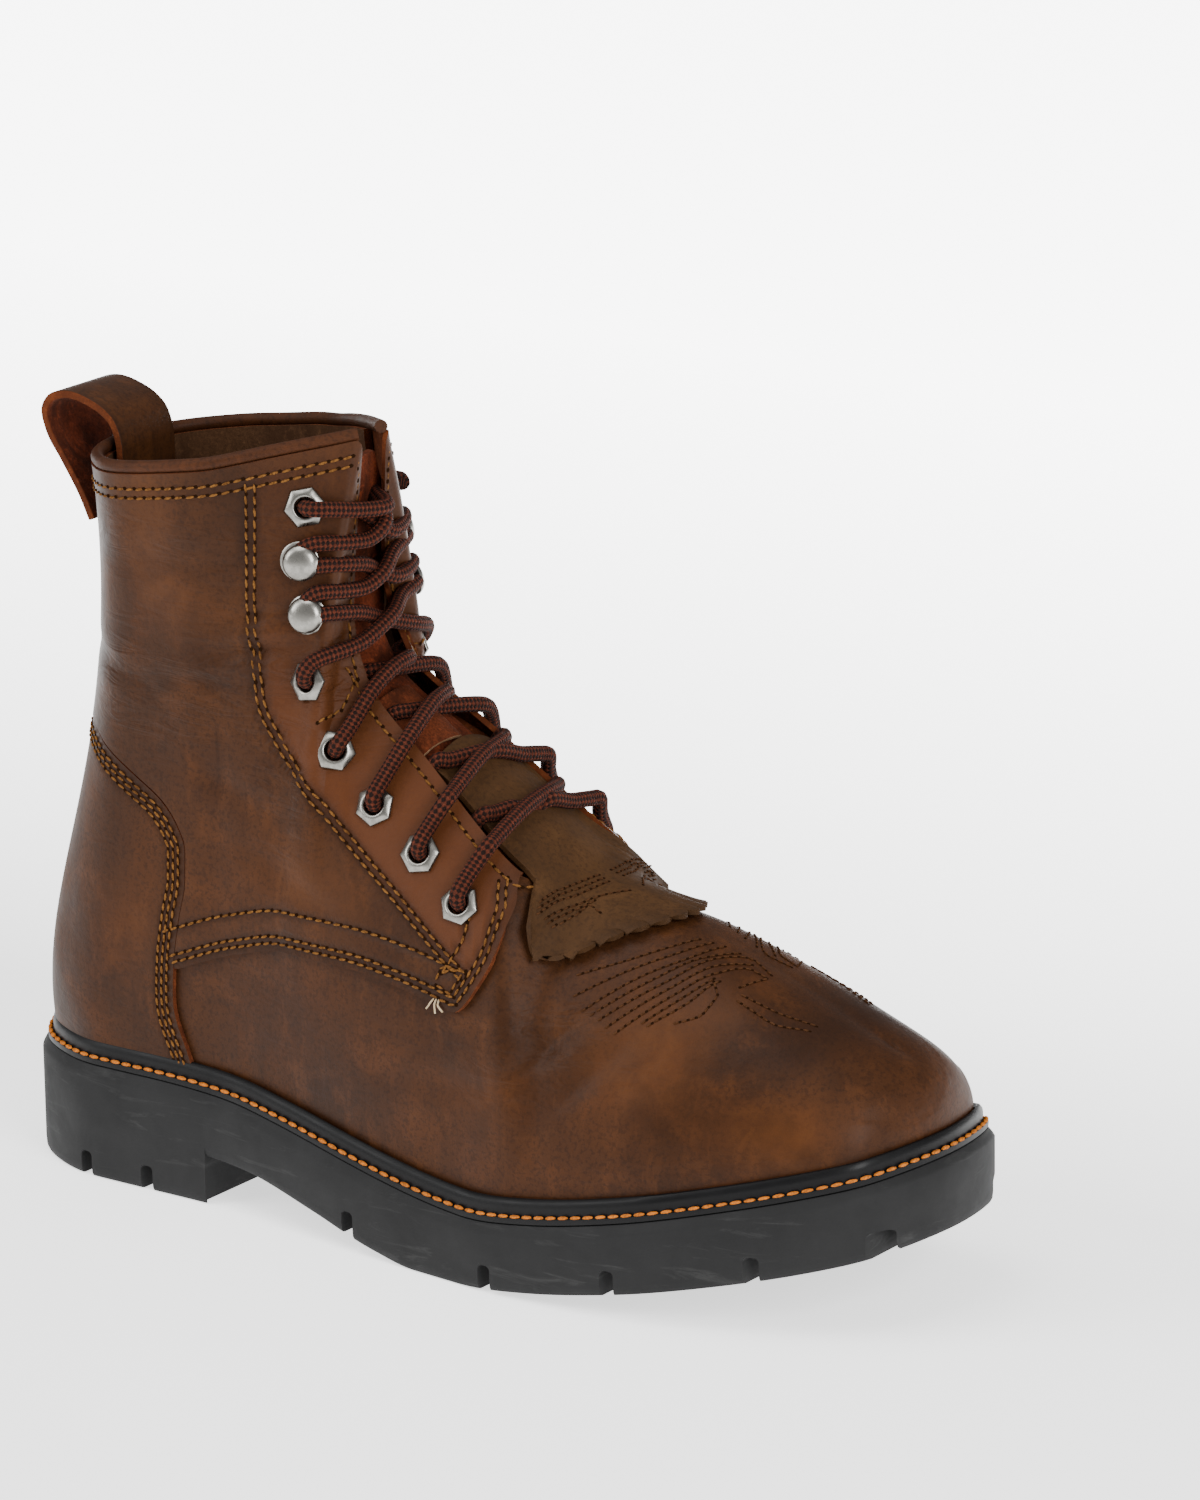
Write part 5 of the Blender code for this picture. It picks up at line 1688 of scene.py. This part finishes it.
def build_welt_stitches():
    t = np.linspace(0, ROUND, 1200)
    line = edge_points(t, np.full_like(t, WELT_STITCH_INSET), lambda x: sole_top(x) + WELT_STITCH_RISE)
    up = (0, 0, 1)
    rows = []
    for number, (point, direction) in enumerate(zip(*row_points(line, WELT_STITCH_PITCH))):
        if number % 40 == 0:
            rows.append(bmesh.new())
        turn = Matrix((up, np.cross(up, direction), direction)).transposed().to_4x4()
        bead(rows[-1], Matrix.Translation(Vector(point)) @ turn, WELT_STITCH_SIZE, 8, 5)
    finish("welt_stitches", join(rows), ["welt thread"])


# Stage, operators and panel
CAMERA_TURN, CAMERA_RISE, CAMERA_ROLL = 36.0, 16.5, -0.9
CAMERA_DISTANCE, CAMERA_FOCUS = 2200.0, 7772.53
CAMERA_AIM = np.array((150.0, 0.0, 100.0))
CAMERA_SLIDE = (-37.164, -36.267)
CAMERA_CLIP = (0.05, 100.0)
FRAME_HEIGHT, SENSOR = 1500, 36.0

# Softboxes: name, place, aim, size and power, in metres and watts
LIGHTS = (
    ("top_softbox", (-0.3, -0.4, 1.7), (0, 0, 0.1), (1.4, 1.2), 20),
    ("left_softbox", (-1.2, -1.2, 1.0), (0, 0, 0.1), (0.9, 1.2), 22),
    ("right_softbox", (1.6, -0.7, 0.9), (0.1, 0, 0.08), (0.8, 1.0), 38),
)
WORLD_STRENGTH = 0.5
FLOOR_HALF = 12
FLOOR_GLOW = {"From Min": 0.1, "From Max": 0.9, "To Min": 1.3, "To Max": 7.0}


def build_camera():
    turn, rise, roll = (math.radians(angle) for angle in (CAMERA_TURN, CAMERA_RISE, CAMERA_ROLL))
    back = np.array((math.sin(turn) * math.cos(rise), -math.cos(turn) * math.cos(rise), math.sin(rise)))
    level = np.array((math.cos(turn), math.sin(turn), 0))
    upright = np.cross(back, level)
    right = math.cos(roll) * level + math.sin(roll) * upright
    up = math.cos(roll) * upright - math.sin(roll) * level
    spot = CAMERA_AIM + back * CAMERA_DISTANCE - right * CAMERA_SLIDE[0] - up * CAMERA_SLIDE[1]
    data = bpy.data.cameras.new("photo_camera")
    data.sensor_width = SENSOR
    data.lens = CAMERA_FOCUS * SENSOR / FRAME_HEIGHT
    data.clip_start, data.clip_end = CAMERA_CLIP
    camera = bpy.data.objects.new("photo_camera", data)
    facing = Matrix((right, up, back)).transposed().to_4x4()
    camera.matrix_world = Matrix.Translation(Vector((spot + SHIFT) * MM)) @ facing
    bpy.context.scene.collection.objects.link(camera)
    bpy.context.scene.camera = camera


def add_light(name, spot, aim, size, power):
    data = bpy.data.lights.new(name, "AREA")
    data.shape = "RECTANGLE"
    data.size, data.size_y = size
    data.energy = power
    light = bpy.data.objects.new(name, data)
    light.location = spot
    light.rotation_euler = (Vector(aim) - Vector(spot)).to_track_quat("-Z", "Y").to_euler()
    bpy.context.scene.collection.objects.link(light)


def build_stage():
    """The pale floor, which glows more with the distance behind the boot, and the lights and camera."""
    bm = bmesh.new()
    bmesh.ops.create_grid(bm, x_segments=4, y_segments=4, size=FLOOR_HALF)
    floor = new_object("pale_floor", bm)
    material, tree, shader = new_material("pale_floor_look")
    where = place_on(tree)
    behind = node(tree, "ShaderNodeSeparateXYZ", {"Vector": where}).outputs["Y"]
    glow = node(tree, "ShaderNodeMapRange", {"Value": behind, **FLOOR_GLOW}).outputs["Result"]
    fill(tree, shader, {
        "Base Color": ramp(tree, noise(tree, where, 6.0, 2.0), (0.3, 0.86), (0.7, 0.88)),
        "Roughness": 0.9, "Specular IOR Level": 0.1,
        "Emission Color": (1, 1, 1, 1), "Emission Strength": glow,
    })
    floor.data.materials.append(material)
    world = bpy.data.worlds.new("studio")
    world.use_nodes = True
    sky = {"Color": (1, 1, 1, 1), "Strength": WORLD_STRENGTH}
    fill(world.node_tree, world.node_tree.nodes["Background"], sky)
    bpy.context.scene.world = world
    for light in LIGHTS:
        add_light(*light)
    build_camera()


def length_property(name, description, default):
    return FloatProperty(name=name, description=description, default=default * MM, unit="LENGTH", min=0)


class BootSizes(bpy.types.PropertyGroup):
    """Sizes that a user may change."""

    panel_wall: length_property("Panel leather", "Thickness of the quarters and the counter", 1.6)
    lace_diameter: length_property("Lace", "Diameter of the lace", 4.6)
    stitch_pitch: length_property("Stitch pitch", "From one stitch of the facings to the next", 3.4)


def colour_property(name, description, default):
    return FloatVectorProperty(name=name, description=description, default=default, subtype="COLOR",
                               min=0, max=1)


class BootColours(bpy.types.PropertyGroup):
    """Colours that a user may change."""

    leather: colour_property("Leather", "Oiled leather", (0.042, 0.0148, 0.0048))
    # The leather's dark colour also paints shade in the placed dark clouds and along the stitch grooves, and
    # its rub colour paints highlight in the placed light clouds
    leather_dark: colour_property("Leather clouds", "Dark clouds in the leather", (0.0155, 0.0063, 0.003))
    leather_rub: colour_property("Leather rubs", "Lighter rubbed places", (0.076, 0.026, 0.0075))
    facing: colour_property("Facing", "Leather of the lace facings", (0.078, 0.0245, 0.0085))
    kiltie: colour_property("Kiltie", "Kiltie leather", (0.05, 0.0225, 0.008))
    raw_edge: colour_property("Raw edge", "Cut leather edges", (0.11, 0.028, 0.008))
    suede: colour_property("Suede", "Tongue suede", (0.115, 0.0235, 0.0085))
    rubber: colour_property("Sole rubber", "Sole rubber", (0.008, 0.008, 0.0082))
    lace: colour_property("Lace", "Bright strands of the lace", (0.09, 0.02, 0.009))
    thread: colour_property("Thread", "Thread of the panels", (0.17, 0.075, 0.02))
    welt_thread: colour_property("Welt thread", "Thread of the welt", (0.5, 0.15, 0.02))


PIECES = (
    ("stage", "Stage and camera", build_stage),
    ("sole", "Outsole", build_outsole),
    ("welt", "Storm welt", build_welt),
    ("insole", "Insole", build_insole),
    ("upper", "Upper", build_upper),
    ("counter", "Heel counter", build_counter),
    ("quarters", "Quarters", build_quarters),
    ("back_strip", "Back strip", build_back_strip),
    ("piping", "Collar piping", build_piping),
    ("tongue", "Tongue", build_tongue),
    ("keeper", "Lace keeper", build_keeper),
    ("kiltie", "Kiltie", build_kiltie),
    ("pull_loop", "Pull loop", build_pull_loop),
    ("fittings", "Eyelets and hooks", build_fittings),
    ("laces", "Laces", build_laces),
    ("panel_stitches", "Panel stitches", build_panel_stitches),
    ("loose_threads", "Loose threads", build_loose_threads),
    ("ornament_stitches", "Ornament stitches", build_ornament_stitches),
    ("welt_stitches", "Welt stitches", build_welt_stitches),
)


def make_operator(key, label, build):
    """The operator of one piece, or of a group of like pieces."""
    def execute(self, context):
        build()
        return {"FINISHED"}

    parts = {"__doc__": "Builds: " + label.lower(), "bl_idname": "boot." + key, "bl_label": label}
    return type("BOOT_OT_" + key, (bpy.types.Operator,), {**parts, "execute": execute})


OPERATORS = [make_operator(*piece) for piece in PIECES]


class BOOT_PT_panel(bpy.types.Panel):
    """Sizes, colours and pieces of the boot."""

    bl_label = "Kiltie work boot"
    bl_idname = "BOOT_PT_panel"
    bl_space_type = "VIEW_3D"
    bl_region_type = "UI"
    bl_category = "Boot"

    def draw(self, context):
        for group in (context.scene.boot_sizes, context.scene.boot_colours):
            for name in group.__annotations__:
                self.layout.prop(group, name)
        for operator in OPERATORS:
            self.layout.operator(operator.bl_idname)


CLASSES = [BootSizes, BootColours, *OPERATORS, BOOT_PT_panel]


def register():
    for item in CLASSES:
        bpy.utils.register_class(item)
    bpy.types.Scene.boot_sizes = PointerProperty(type=BootSizes)
    bpy.types.Scene.boot_colours = PointerProperty(type=BootColours)


def unregister():
    del bpy.types.Scene.boot_colours
    del bpy.types.Scene.boot_sizes
    for item in reversed(CLASSES):
        bpy.utils.unregister_class(item)


def main():
    register()
    for key, label, build in PIECES:
        getattr(bpy.ops.boot, key)()
    bpy.context.view_layer.update()


if __name__ == "__main__":
    main()
